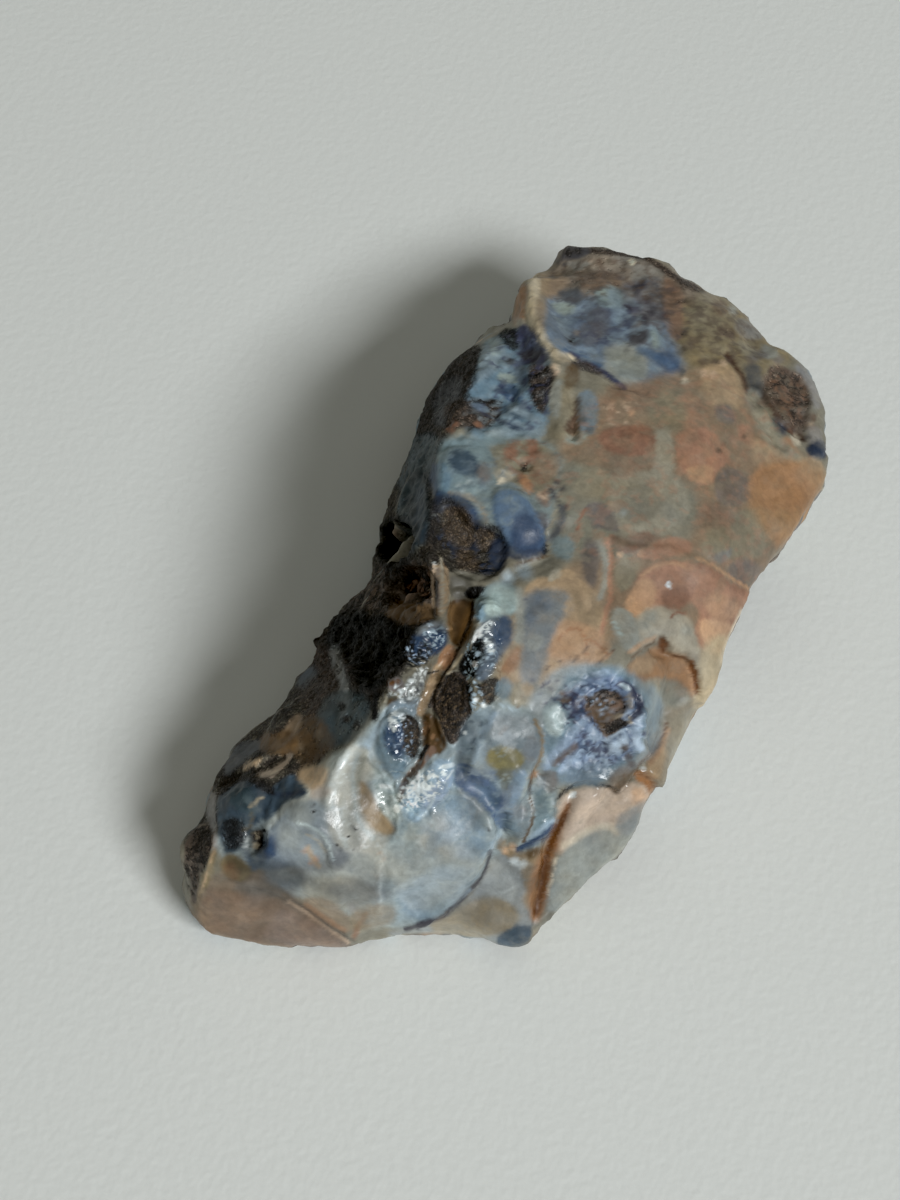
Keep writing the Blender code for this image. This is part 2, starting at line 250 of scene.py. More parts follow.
def depth_inside(pixels, outline):
    """Return each pixel's distance to the outline, above zero inside it."""
    corners = rounded(outline, True)
    nearest = np.full(len(pixels), np.inf)
    inside = np.zeros(len(pixels), bool)
    for start, end in zip(corners, np.roll(corners, -1, axis=0)):
        along = end - start
        away = pixels - start
        share = np.clip(away @ along / max(along @ along, 1e-9), 0.0, 1.0)
        nearest = np.minimum(nearest, np.linalg.norm(away - share[:, None] * along, axis=1))
        spans = (start[1] > pixels[:, 1]) != (end[1] > pixels[:, 1])
        height = along[1] if along[1] else 1e-9
        inside ^= spans & (away[:, 0] < along[0] * away[:, 1] / height)
    return np.where(inside, nearest, -nearest)


def path_distance(pixels, path):
    """Return each pixel's distance to the path, and to its right-hand side, looking along it."""
    corners = rounded(path, False)
    nearest = np.full(len(pixels), np.inf)
    side = np.zeros(len(pixels))
    for start, end in zip(corners, corners[1:]):
        along = end - start
        away = pixels - start
        share = np.clip(away @ along / (along @ along), 0.0, 1.0)
        distance = np.linalg.norm(away - share[:, None] * along, axis=1)
        to_right = (along[0] * away[:, 1] - along[1] * away[:, 0]) / np.hypot(*along)
        closer = distance < nearest
        side = np.where(closer, to_right, side)
        nearest = np.where(closer, distance, nearest)
    return nearest, side


# The stone's fine mesh.

def with_modifiers(thing, *settings):
    """Apply modifiers, each given as its type and its values, to the object's mesh."""
    for kind, values in settings:
        modifier = thing.modifiers.new(kind.lower(), kind)
        for name, value in values.items():
            setattr(modifier, name, value)
    depsgraph = bpy.context.evaluated_depsgraph_get()
    mesh = bpy.data.meshes.new_from_object(thing.evaluated_get(depsgraph))
    thing.modifiers.clear()
    thing.data = mesh


def read_array(values, name):
    """Return one three-part value of each item, such as its place, as an array."""
    numbers = np.empty(len(values) * 3)
    values.foreach_get(name, numbers)
    return numbers.reshape(-1, 3)


def split(bm, faces):
    """Cut each of the quads in four."""
    edges = {edge for face in faces for edge in face.edges}
    bmesh.ops.subdivide_edges(bm, edges=list(edges), cuts=1, use_grid_fill=True)
    bm.normal_update()


def fine_stone():
    """Return the stone as a new object in millimetres, in small even quads."""
    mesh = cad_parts["boulder_opal"].data.copy()
    mesh.transform(Matrix.Scale(1.0 / MM, 4))
    mesh.materials.clear()
    stone = bpy.data.objects.new("opal_stone", mesh)
    bpy.context.scene.collection.objects.link(stone)
    with_modifiers(
        stone,
        ("REMESH", {"mode": "VOXEL", "voxel_size": COARSE_GRAIN}),
        ("SMOOTH", {"factor": 0.5, "iterations": 3}))
    bm = bmesh.new()
    bm.from_mesh(stone.data)
    bm.normal_update()
    camera = Vector(CAMERA_PLACE)
    shown = [face for face in bm.faces
             if face.normal.dot((camera - face.verts[0].co).normalized()) > TURNED_AWAY]
    split(bm, shown)
    bm.faces.ensure_lookup_table()
    middles = np.array([face.calc_center_median() for face in bm.faces])
    facing = np.array([face.normal for face in bm.faces]) @ BACK
    on_crest = (depth_inside(photo_pixels(middles), CREST_OUTLINE) > 0.0) & (facing > 0.0)
    split(bm, [bm.faces[index] for index in np.flatnonzero(on_crest)])
    bmesh.ops.triangulate(bm, faces=[face for face in bm.faces if len(face.verts) > 4])
    bm.to_mesh(stone.data)
    bm.free()
    with_modifiers(stone, ("SMOOTH", {"factor": 0.5, "iterations": 2}))
    return stone


def edge_ends(mesh):
    """Return the two vertices of every edge, as two arrays."""
    edges = np.empty(len(mesh.edges) * 2, np.int64)
    mesh.edges.foreach_get("vertices", edges)
    return edges[0::2], edges[1::2]


def evened(values, ends, rounds):
    """Return the values, each averaged with its neighbours' over the mesh's edges."""
    count = len(values)
    first, second = ends
    share = np.bincount(first, minlength=count) + np.bincount(second, minlength=count)
    for _ in range(rounds):
        total = (np.bincount(first, weights=values[second], minlength=count)
                 + np.bincount(second, weights=values[first], minlength=count))
        values = 0.5 * values + 0.5 * total / np.maximum(share, 1)
    return values


def shown_share(mesh, places, normals):
    """Return 1 for what the photograph shows well, 0 for what it hides."""
    tree = BVHTree.FromPolygons(places.tolist(), [face.vertices for face in mesh.polygons])
    toward = CAMERA_PLACE - places
    toward /= np.linalg.norm(toward, axis=1)[:, None]
    facing = np.einsum("ij,ij->i", normals, toward)
    clear = np.zeros(len(places))
    start_gap = 0.15
    for index in np.flatnonzero(facing > 0.0):
        start = Vector(places[index] + normals[index] * start_gap)
        if tree.ray_cast(start, Vector(toward[index]))[0] is None:
            clear[index] = 1.0
    return evened(clear * ramp(facing, 0.0, 0.08), edge_ends(mesh), 3)


def write_value(mesh, name, values):
    """Keep one number for each vertex under the name."""
    mesh.attributes.new(name, "FLOAT", "POINT").data.foreach_set("value", values.astype(np.float32))


def write_colour(mesh, name, colours):
    """Keep one colour for each vertex under the name."""
    four = np.ones((len(colours), 4), np.float32)
    four[:, :3] = colours
    mesh.attributes.new(name, "FLOAT_COLOR", "POINT").data.foreach_set("color", four.ravel())


# Relief, as the photograph shows it.  Heights are in millimetres, along the
# stone's own slope; outlines, paths, widths and reaches are in pixels.

def swell(outline, height, soft=6.0):
    """Describe a raised patch, or a sunken one, with a soft edge."""
    return {"kind": "swell", "points": outline, "height": height, "soft": soft}


def dome(outline, height):
    """Describe a patch that rises, or sinks, roundly toward its middle."""
    return {"kind": "dome", "points": outline, "height": height}


def ridge(path, width, height):
    """Describe a ridge along the path, or a groove when the height is below zero."""
    return {"kind": "ridge", "points": path, "width": width, "height": height}


def ledge(path, height, reach, lip=0.35):
    """Describe a break along the path: its right-hand side drops, and climbs back over the reach."""
    return {"kind": "ledge", "points": path, "height": height, "reach": reach, "lip": lip}


def rough(outline, height, size, soft=8.0):
    """Describe lumpy ground inside the outline, with lumps of a size in millimetres."""
    return {"kind": "rough", "points": outline, "height": height, "size": size, "soft": soft}


RELIEF = {
    "ledge of the blue corner": ledge([
        (630, 391), (618, 387), (600, 373), (580, 362), (562, 352)], 0.4, 30),
    "groove of that ledge": ridge([(618, 387), (600, 373), (580, 362), (566, 355)], 6, -0.25),
    "groove beside the dark oval": ridge([
        (728, 352), (740, 366), (750, 390), (757, 410), (770, 432), (784, 446)], 8, -0.35),
    "dark oval": swell([
        (764, 376), (776, 361), (790, 370), (804, 378), (811, 395), (808, 412), (806, 434), (795, 432),
        (782, 422), (770, 408), (762, 398)], -0.35, 5),
    "grain of the dark oval": rough([
        (764, 376), (776, 361), (804, 378), (811, 395), (806, 434), (782, 422), (762, 398)], 0.16, 0.8),
    "edge under the dark oval": ridge([(760, 396), (771, 410), (785, 424), (803, 436)], 7, -0.5),
    "knob of the end": dome([(806, 424), (822, 424), (827, 446), (822, 460), (808, 458)], 0.4),
    "welt": ridge([(531, 266), (534, 290), (530, 306), (533, 324), (546, 344), (560, 358)], 20, 0.3),
    "left foot of the welt": ledge([(552, 360), (530, 336), (522, 312), (522, 288)], 0.3, 24, 0.0),
    "lumps of the far end": rough([
        (545, 262), (600, 250), (670, 275), (740, 310), (800, 365), (756, 380), (690, 366), (600, 366),
        (545, 330)], 0.10, 1.8),
    "fine lumps of the far end": rough([
        (556, 256), (650, 256), (700, 290), (700, 350), (650, 350), (600, 300), (556, 290)], 0.04, 0.7),
    "tan stripe": ridge([(556, 372), (562, 400), (560, 438)], 16, 0.3),
    "hollow of the stripe": ridge([(573, 398), (575, 416), (573, 434)], 9, -0.5),
    "grainy patch": rough([(528, 362), (557, 368), (552, 414), (530, 410)], 0.2, 0.6),
    "grain of the brown patch": rough([(440, 404), (500, 392), (504, 430), (446, 434)], 0.25, 0.8),
    "lumps of the flank top": rough([
        (430, 380), (500, 326), (548, 345), (552, 430), (470, 440), (400, 470)], 0.22, 1.3),
    "cream cloud by the ovals": rough([
        (490, 440), (560, 430), (566, 500), (540, 500), (500, 480)], 0.12, 0.8),
    "first oval": dome([
        (436, 456), (452, 444), (472, 446), (488, 462), (489, 484), (470, 499), (446, 498),
        (432, 480)], 0.25),
    "second oval": dome([
        (490, 492), (504, 485), (518, 488), (532, 500), (544, 516), (547, 536), (540, 552), (524, 560),
        (508, 552), (500, 532), (493, 514)], 0.3),
    "edge under the second oval": ledge([
        (506, 574), (516, 562), (532, 560), (546, 552), (546, 536)], 0.5, 22, 0.0),
    "small pit": dome([(514, 458), (530, 456), (534, 468), (524, 474), (514, 470)], -0.4),
    "orange hollow": ridge([(510, 472), (522, 484), (536, 500)], 8, -0.2),
    "sandy hollow": swell([
        (440, 508), (456, 506), (464, 520), (472, 531), (488, 530), (504, 538), (506, 552), (500, 574),
        (484, 582), (468, 578), (452, 570), (438, 560), (430, 548)], -0.5, 5),
    "lumps of the sandy hollow": rough([
        (432, 506), (464, 510), (506, 540), (500, 576), (468, 580), (430, 556)], 0.24, 0.55),
    "hole": swell([
        (381, 532), (395, 522), (407, 526), (411, 538), (408, 550), (401, 557), (391, 560), (381, 556),
        (379, 544)], -3.2, 7),
    "red cavity": swell([
        (394, 570), (416, 564), (434, 574), (436, 592), (420, 600), (396, 602), (384, 590)], -1.4, 8),
    "lumps of the cavity": rough([(380, 560), (440, 560), (444, 612), (376, 612)], 0.35, 0.9),
    "fin": ridge([(434, 558), (440, 578), (442, 600), (441, 626)], 8, 0.9),
    "head of the groove": swell([
        (450, 590), (466, 588), (472, 604), (468, 640), (456, 648), (449, 616)], -0.3, 8),
    "groove": ridge([
        (458, 640), (448, 656), (434, 672), (424, 694), (421, 720), (422, 744), (412, 770),
        (404, 780)], 9, -0.6),
    "first lump": swell([
        (408, 640), (418, 628), (428, 621), (444, 624), (449, 640), (438, 654), (418, 666),
        (406, 660)], 0.5, 10),
    "second lump": swell([
        (390, 684), (402, 664), (422, 658), (436, 672), (426, 698), (404, 706), (390, 698)], 0.45, 10),
    "third lump": swell([
        (384, 722), (392, 712), (402, 712), (412, 716), (419, 724), (421, 738), (420, 752), (414, 764),
        (404, 770), (394, 776), (386, 768), (380, 756), (378, 740)], 0.45, 12),
    "crinkles of the lumps": rough([
        (408, 620), (448, 620), (450, 664), (432, 704), (422, 760), (396, 766), (378, 730),
        (388, 680)], 0.22, 0.45),
    "ridge beside the groove": ridge([
        (486, 612), (484, 636), (486, 660), (486, 684), (478, 704)], 18, 0.7),
    "crinkles of the ridge": rough([
        (468, 612), (500, 608), (504, 650), (498, 700), (470, 712)], 0.24, 0.45),
    "dark grainy lump": swell([
        (450, 668), (466, 672), (472, 690), (466, 712), (460, 728), (454, 746), (444, 746), (437, 716),
        (432, 700), (438, 684)], 0.35, 5),
    "glass above the ridge": swell([
        (470, 572), (496, 568), (518, 584), (522, 612), (496, 620), (474, 604)], 0.2, 12),
    "edge of the glass": ledge([(520, 646), (520, 602), (510, 586), (496, 576)], 0.2, 18, 0.5),
    "lip of the milky pane": ledge([(524, 712), (508, 707), (492, 702)], 0.3, 26),
    "black ironstone": rough([
        (300, 640), (330, 615), (384, 606), (430, 630), (412, 655), (380, 700), (330, 700)], 0.34, 0.9),
    "foot of the ironstone": ledge([
        (404, 664), (394, 676), (378, 694), (362, 694), (350, 680), (336, 660),
        (322, 648)], -0.5, 22, 0.0),
    "rough flank": rough([
        (380, 470), (430, 440), (436, 560), (380, 620), (300, 650), (340, 580)], 0.3, 1.5),
    "smooth lower flank": rough([
        (290, 690), (370, 690), (372, 740), (300, 776), (230, 776), (250, 730)], 0.18, 1.8),
    "froth of the ring": rough([
        (548, 700), (562, 684), (590, 668), (620, 672), (644, 690), (648, 720), (642, 752), (616, 770),
        (580, 776), (548, 764), (544, 730)], 0.2, 0.55),
    "broad froth of the ring": rough([
        (548, 700), (590, 668), (644, 690), (648, 745), (616, 770), (560, 770)], 0.22, 1.2),
    "right froth": ridge([(641, 712), (640, 728), (636, 742), (642, 752)], 9, 0.45),
    "upper right froth": ridge([(624, 684), (632, 692), (631, 706)], 8, 0.35),
    "hollow beside it": ridge([(634, 686), (639, 700), (636, 714), (628, 718)], 5, -0.35),
    "left froth": swell([(548, 704), (562, 702), (568, 722), (560, 736), (546, 728)], 0.3, 6),
    "diagonal froth": ridge([(546, 768), (560, 748), (582, 726)], 10, 0.3),
    "lower froth": ridge([(608, 742), (620, 738), (628, 746)], 9, 0.3),
    "worn centre": swell([
        (583, 702), (590, 692), (604, 689), (618, 691), (626, 700), (626, 712), (630, 724), (618, 730),
        (606, 738), (599, 728), (592, 716), (585, 712)], -0.35, 4),
    "cut of the worn centre": ledge([(602, 740), (612, 733), (628, 728)], 0.45, 12, 0.0),
    "flap of the worn centre": ridge([(616, 718), (622, 714), (628, 716)], 4, 0.35),
    "step across the rusty field": ledge([
        (756, 596), (738, 582), (712, 566), (690, 553), (664, 544), (640, 546), (616, 540),
        (602, 524)], 0.22, 30),
    "seam of the rusty field": ridge([(609, 544), (612, 580), (608, 620), (600, 650)], 6, -0.18),
    "scar of the thin edge": ledge([
        (698, 706), (700, 690), (696, 668), (684, 657), (668, 654), (650, 642), (636, 650),
        (624, 668)], -0.45, 40, 0.2),
    "spur of the scar": dome([(650, 638), (662, 634), (672, 646), (664, 660), (650, 656)], -0.5),
    "crack of the edge": ridge([(666, 712), (662, 738), (651, 755), (636, 768), (626, 784)], 6, -0.35),
    "lip above the peach": ledge([
        (660, 792), (650, 776), (636, 772), (624, 786), (618, 793), (606, 785), (590, 781), (572, 783),
        (560, 796)], -0.9, 46),
    "crack": ridge([
        (568, 798), (561, 820), (552, 836), (545, 852), (543, 872), (538, 892), (535, 912),
        (533, 930)], 14, -0.45),
    "fall beside the crack": ledge([
        (568, 796), (561, 820), (552, 836), (545, 852), (543, 872), (538, 892),
        (534, 926)], -0.5, 60, 0.2),
    "chipped edge of the lobe": ledge([
        (400, 934), (420, 928), (434, 923), (446, 915), (458, 903), (470, 891), (480, 882), (488, 866),
        (492, 850)], 0.7, 44),
    "edge of the cliff": ledge([(230, 880), (286, 897), (308, 911), (330, 927), (354, 942)], 0.35, 30),
    "ledge of the corner": ledge([(232, 776), (250, 768), (268, 760), (290, 750)], 0.6, 26),
    "pit of the corner": dome([
        (240, 826), (256, 820), (268, 832), (266, 850), (250, 858), (240, 846)], -0.7),
    "knobs of the corner": rough([
        (206, 790), (260, 776), (306, 772), (290, 810), (250, 870), (210, 850)], 0.22, 1.1),
    "rim of the bowl": ridge([(352, 746), (340, 762), (331, 782), (327, 804)], 8, 0.3),
    "bowl": dome([
        (350, 750), (372, 760), (396, 800), (398, 836), (370, 850), (344, 830), (338, 790)], -0.4),
    "sparkling crown": dome([
        (392, 776), (420, 760), (448, 768), (452, 796), (424, 812), (396, 804)], 0.5),
    "crinkles of the crown": rough([
        (384, 764), (420, 756), (452, 764), (452, 800), (404, 832), (380, 810)], 0.14, 0.7),
    "creases of the lobe": ledge([(381, 904), (380, 884), (382, 864)], 0.2, 20),
    "white arc": ledge([(298, 824), (314, 827), (323, 839), (327, 854)], 0.25, 24),
    "second arc": ledge([(310, 816), (328, 824), (338, 842)], 0.2, 20),
    "crease under the facet": ridge([
        (456, 766), (470, 780), (486, 796), (498, 812), (506, 834)], 13, -0.45),
    "blade by the crease": ridge([(522, 772), (518, 792), (512, 812), (511, 828)], 8, 0.35),
    "step below the crease": ledge([(502, 838), (494, 818), (478, 802), (462, 790), (450, 780)], 0.3, 26),
    "right small facet": ledge([(556, 822), (552, 804), (546, 786), (536, 776)], 0.25, 18),
    "facet beside it": ledge([(524, 794), (534, 774), (541, 756), (541, 735), (532, 716)], 0.35, 24),
    "left edge of the facet": ledge([(494, 710), (484, 728), (476, 746), (470, 766)], 0.3, 24),
    "brown line of the facets": ledge([
        (521, 842), (530, 828), (534, 812), (529, 796), (531, 776)], 0.4, 20),
    "chip above the scar": ledge([(516, 848), (538, 840), (558, 824)], 0.5, 26),
    "ripples of the lobe": rough([(320, 850), (480, 800), (490, 860), (440, 920), (330, 910)], 0.12, 2.6),
    "facets of the slope": rough([
        (460, 700), (545, 700), (560, 800), (500, 850), (440, 800), (440, 750)], 0.08, 1.1),
}


def feature_height(feature, pixels, places, number):
    """Return how far one feature of the relief lifts each place, in millimetres."""
    points = feature["points"]
    height = feature["height"]
    if feature["kind"] in ("swell", "rough"):
        inside = ramp(depth_inside(pixels, points), -feature["soft"] / 2.0, feature["soft"] / 2.0)
        if feature["kind"] == "rough":
            inside = inside * rough_noise(places, feature["size"], 300 + number)
        return height * inside
    if feature["kind"] == "dome":
        depth = np.maximum(depth_inside(pixels, points), 0.0)
        deepest = max(depth.max(), 1.0)
        return height * np.sqrt(1.0 - (1.0 - depth / deepest) ** 2)
    distance, side = path_distance(pixels, points)
    if feature["kind"] == "ridge":
        return height * (1.0 - ramp(distance, 0.0, feature["width"]))
    fade = 1.0 - ramp(distance, 0.0, feature["reach"])
    fall = ramp(side, -LEDGE_SOFTNESS, LEDGE_SOFTNESS)
    return height * fade * (feature["lip"] * (1.0 - fall) - (1.0 - feature["lip"]) * fall)


def carve(places, normals, seen):
    """Return the places, moved along their normals by the relief and by fine unevenness."""
    pixels = photo_pixels(places)
    wander = 0.5 * WANDER * np.stack([
        soft_noise(places, 1.1, seed) + 0.6 * soft_noise(places, 0.5, seed + 1)
        for seed in (171, 181)], axis=1)
    lift = np.zeros(len(places))
    for number, feature in enumerate(RELIEF.values()):
        points = np.array(feature["points"], float)
        margin = max(feature.get("reach", 0.0), feature.get("width", 0.0)) + 16.0
        near = np.all((pixels > points.min(axis=0) - margin)
                      & (pixels < points.max(axis=0) + margin), axis=1)
        chosen = np.flatnonzero(near & (seen > LEAST_SEEN))
        lift[chosen] += seen[chosen] * feature_height(
            feature, pixels[chosen] + wander[chosen], places[chosen], number)
    hidden = 1.0 - seen
    height, size = HIDDEN_LUMPS
    lift += hidden * height * rough_noise(places, size, 201)
    lift += lumps(places, LOW_LUMPS, 211) + lumps(places, FINE_LUMPS, 221)
    return places + normals * lift[:, None]


# Marks, as the photograph shows them.  Each has its name, its colour, and its
# outline or path in the photograph's pixels.

def area(colour, outline, soft=6.0, amount=1.0, ragged=1.0):
    """Describe a patch inside the outline, whose edge is as soft as given, in pixels."""
    return {"kind": "area", "colour": colour, "points": outline, "soft": soft,
            "amount": amount, "ragged": ragged}


def mottle(colour, outline, size, cover, soft=8.0, amount=1.0):
    """Describe blotches inside the outline, of a size in millimetres; cover is their share."""
    return {"kind": "mottle", "colour": colour, "points": outline, "size": size,
            "cover": cover, "soft": soft, "amount": amount, "ragged": 1.0}


def veins(colour, outline, size, width, soft=8.0, amount=1.0):
    """Describe wispy lines inside the outline; the size and the width are in millimetres."""
    return {"kind": "veins", "colour": colour, "points": outline, "size": size,
            "width": width, "soft": soft, "amount": amount, "ragged": 1.0}


def polish(outline, gloss, soft=8.0):
    """Describe a patch whose gloss alone is changed."""
    return {"kind": "area", "colour": None, "points": outline, "soft": soft,
            "amount": gloss, "ragged": 1.0}


def light_and_shade_veil(outline, light, soft=10.0):
    """Describe painted shade, where the light is below 1, and painted light above it: a patch whose
    colour is only made darker or lighter.
    """
    return {"kind": "light_and_shade_veil", "colour": None, "points": outline, "soft": soft,
            "amount": light, "ragged": 1.0}


def line(colour, path, width=5.0, soft=3.0, amount=1.0, ragged=0.6):
    """Describe a stroke along the path."""
    return {"kind": "line", "colour": colour, "points": path, "width": width,
            "soft": soft, "amount": amount, "ragged": ragged}


def spots(colour, middles, width=8.0, soft=4.0, amount=1.0, ragged=0.8):
    """Describe round spots at the middles."""
    return {"kind": "spots", "colour": colour, "points": middles, "width": width,
            "soft": soft, "amount": amount, "ragged": ragged}


def crisp(colour, outline, soft=2.5, amount=1.4):
    """Describe a patch with a clean edge."""
    return area(colour, outline, soft, amount, 0.35)


def stroke(colour, path, width=3.0, soft=2.0, amount=1.4):
    """Describe a clean stroke along the path."""
    return line(colour, path, width, soft, amount, 0.3)


# Colours as the photograph shows them, with the gloss and the share of ironstone.
PALETTE = {
    "amber": ("#8d6440", 0.6, 0.0),
    "arc grey": ("#7c8488", 0.9, 0.0),
    "black brown": ("#231f1b", 0.2, 0.9),
    "black": ("#0e0e0d", 0.25, 1.0),
    "blade": ("#7f92a6", 0.8, 0.0),
    "blue grey": ("#5f6c7a", 0.6, 0.0),
    "blue white": ("#94a5b0", 0.7, 0.0),
    # Milky opal with a painted sheen, for the wide bowl.
    "bowl milk and sheen": ("#a5a49b", 1.1, 0.0),
    "bright orange": ("#967154", 0.4, 0.0),
    "brown mottle": ("#4f443b", 0.3, 0.3),
    "brown": ("#5b4b3e", 0.3, 0.2),
    "cliff pink": ("#88715f", 0.4, 0.0),
    "cliff rose": ("#7f756f", 0.6, 0.0),
    "cliff": ("#786a5b", 0.6, 0.0),
    "cloud": ("#869089", 0.6, 0.0),
    "crack brown": ("#58391c", 0.3, 0.2),
    "crack dark": ("#3c2a20", 0.4, 0.0),
    "cream": ("#ab9f88", 0.5, 0.0),
    "crescent tan": ("#8e7c62", 0.8, 0.0),
    "crust tan": ("#7d6c5a", 0.3, 0.1),
    "crust": ("#6d645a", 0.15, 0.35),
    "dark brown": ("#38302a", 0.25, 0.7),
    "dark mottle": ("#3c3b3e", 0.4, 0.1),
    "deep blue": ("#2f4058", 0.7, 0.0),
    "deep olive": ("#605f4f", 0.5, 0.0),
    "dim blue": ("#55606c", 0.6, 0.0),
    "dove": ("#84867f", 0.6, 0.0),
    "drop blue": ("#66727a", 0.6, 0.0),
    "dull rust": ("#785948", 0.4, 0.0),
    "dune orange": ("#94714f", 0.35, 0.0),
    "dusk": ("#615b58", 0.45, 0.0),
    "edge tan": ("#a7997f", 0.5, 0.0),
    "facet grey": ("#7c868a", 0.7, 0.0),
    "facet light": ("#8a9aa6", 0.8, 0.0),
    "facet tan": ("#83857b", 0.65, 0.0),
    "field brown": ("#7b6956", 0.4, 0.0),
    "foam white": ("#a3b2ba", 0.85, 0.0),
    "froth blue": ("#667690", 0.8, 0.0),
    "froth bright": ("#a9bacb", 0.9, 0.0),
    "froth light": ("#8c9db0", 0.85, 0.0),
    "glass grey": ("#888c87", 0.8, 0.0),
    "glass light": ("#9aaba6", 1.0, 0.0),
    "green white": ("#8f9c9a", 0.65, 0.0),
    "grey green": ("#6f6f63", 0.5, 0.0),
    "grey tan": ("#847c6d", 0.5, 0.0),
    "grey": ("#706e69", 0.5, 0.0),
    "groove brown": ("#4c3a24", 0.35, 0.1),
    "haze green": ("#6f736c", 0.6, 0.0),
    # Painted shade: near black for the insides of holes, cavities and pits, matt as ironstone.
    "hole": ("#040404", 0.0, 1.0),
    "hollow grey": ("#6d7274", 0.5, 0.0),
    "ink": ("#33364a", 0.6, 0.05),
    "khaki": ("#756e5c", 0.45, 0.0),
    "lead": ("#44474b", 0.5, 0.1),
    "light orange": ("#a8876a", 0.45, 0.0),
    "light rust": ("#936f5a", 0.4, 0.0),
    "lilac blue": ("#8b96ac", 0.9, 0.0),
    "lilac grey": ("#7c7a78", 0.5, 0.0),
    "lip grey": ("#8a8577", 0.5, 0.0),
    "lobe blue": ("#8598a6", 0.85, 0.0),
    "lobe": ("#8b979a", 0.85, 0.0),
    "marine": ("#24354f", 0.8, 0.0),
    "mauve": ("#6a6462", 0.4, 0.0),
    "milk": ("#a5b0b0", 0.8, 0.0),
    "milky green": ("#b0bfc0", 1.0, 0.0),
    "mist": ("#728088", 0.6, 0.0),
    "navy": ("#262f40", 0.7, 0.0),
    "olive gold": ("#827a54", 0.5, 0.0),
    "olive grey": ("#736f62", 0.45, 0.0),
    "olive": ("#74684f", 0.45, 0.0),
    "orange tan": ("#9c7a5e", 0.45, 0.0),
    "orange": ("#8b6a4f", 0.4, 0.0),
    "oval blue": ("#566a80", 0.6, 0.0),
    "oval brown": ("#4e4036", 0.2, 0.5),
    "pale cream": ("#c2b8a4", 0.6, 0.0),
    "pale green grey": ("#838472", 0.5, 0.0),
    "pale grey": ("#989283", 0.55, 0.0),
    "pale khaki": ("#817a68", 0.45, 0.0),
    "pale orange": ("#b9987a", 0.5, 0.0),
    "pale tan": ("#9a856b", 0.5, 0.0),
    "peach": ("#b3a190", 0.7, 0.0),
    "pearl": ("#a9a89e", 0.75, 0.0),
    "pink cream": ("#b09a84", 0.5, 0.0),
    "pink edge": ("#94877a", 0.6, 0.0),
    # Painted shade: pink is darkened for the cliff, whose face is turned from the light.
    "pink": ("#6c6053", 0.6, 0.0),
    "purple brown": ("#4d4340", 0.4, 0.0),
    "red brown": ("#6c5749", 0.4, 0.0),
    "ribbon blue": ("#52647f", 0.75, 0.0),
    "rust": ("#775a47", 0.4, 0.0),
    "sand": ("#4a3e30", 0.1, 1.0),
    "scar brown": ("#8a6a4d", 0.5, 0.0),
    "scar dark": ("#54300f", 0.4, 0.0),
    "scar grey": ("#7c8080", 0.85, 0.0),
    "scar tan": ("#7f7562", 0.8, 0.0),
    "slate": ("#394753", 0.6, 0.0),
    "slope grey": ("#62666a", 0.7, 0.0),
    "steel": ("#607684", 0.6, 0.0),
    "strong blue": ("#42566f", 0.65, 0.0),
    "tan": ("#7f6f58", 0.45, 0.0),
    "teal dark": ("#3b4a50", 0.6, 0.0),
    "teal": ("#6c7c80", 0.6, 0.0),
    "violet black": ("#2e2b33", 0.5, 0.2),
    "violet grey": ("#545356", 0.45, 0.05),
    "warm grey": ("#858071", 0.5, 0.0),
    "white": ("#c9d0d0", 0.8, 0.0),
}

# The broad zones, which all other marks lie on.
BROAD_ZONES = {
    "blue corner": area("blue grey", [
        (535, 300), (560, 290), (650, 284), (672, 320), (692, 372), (650, 388), (600, 372), (556, 356),
        (536, 325)], 14),
    "olive far side": area("olive", [
        (668, 285), (705, 290), (745, 300), (770, 330), (800, 362), (760, 372), (752, 395), (700, 372),
        (672, 350)], 14),
    "rusty field": area("field brown", [
        (592, 398), (640, 380), (700, 366), (748, 385), (785, 445), (828, 470), (818, 508), (780, 545),
        (762, 590), (742, 622), (715, 652), (650, 640), (600, 640), (575, 655), (545, 610), (560, 560),
        (600, 560), (585, 520), (560, 490), (556, 440), (578, 404)], 16),
    "olive middle": area("grey green", [
        (556, 450), (600, 470), (640, 478), (690, 480), (704, 515), (680, 552), (620, 560), (580, 556),
        (556, 500)], 14, 0.85),
    "steel flank top": area("steel", [
        (478, 345), (520, 325), (548, 345), (556, 400), (545, 440), (500, 446), (470, 440),
        (455, 400)], 12),
    "tan below the ovals": area("pale tan", [
        (520, 590), (560, 575), (600, 590), (612, 640), (600, 668), (540, 672), (500, 690), (495, 660),
        (512, 630)], 14, 0.9),
    "thin edge": area("grey tan", [
        (640, 640), (700, 650), (740, 610), (725, 670), (700, 735), (660, 800), (640, 780),
        (655, 720)], 12),
    "near slope": area("lobe", [
        (345, 755), (395, 690), (440, 745), (500, 690), (545, 720), (560, 770), (560, 800), (545, 850),
        (495, 850), (445, 925), (380, 932), (330, 905), (280, 872), (222, 862), (208, 830), (240, 800),
        (322, 785)], 12),
    "shaded flank": area("black brown", [
        (412, 400), (450, 355), (482, 338), (472, 400), (445, 440), (430, 505), (440, 560), (430, 620),
        (392, 690), (330, 760), (250, 800), (205, 850), (180, 850), (195, 760), (290, 640), (360, 570),
        (385, 450)], 12),
    "grey scar": area("scar grey", [
        (376, 934), (440, 925), (480, 888), (498, 850), (548, 848), (542, 925), (505, 952),
        (420, 945)], 8),
    "pink cliff": area("pink", [
        (186, 905), (205, 878), (230, 866), (282, 870), (296, 900), (355, 940), (352, 955), (250, 945),
        (190, 932)], 8),
    "peach scar": area("peach", [
        (556, 808), (570, 788), (640, 782), (655, 790), (640, 828), (600, 846), (552, 862)], 6),
    "glass scar": area("glass grey", [
        (552, 862), (580, 838), (612, 830), (648, 805), (652, 812), (618, 862), (560, 912),
        (544, 912)], 6),
}

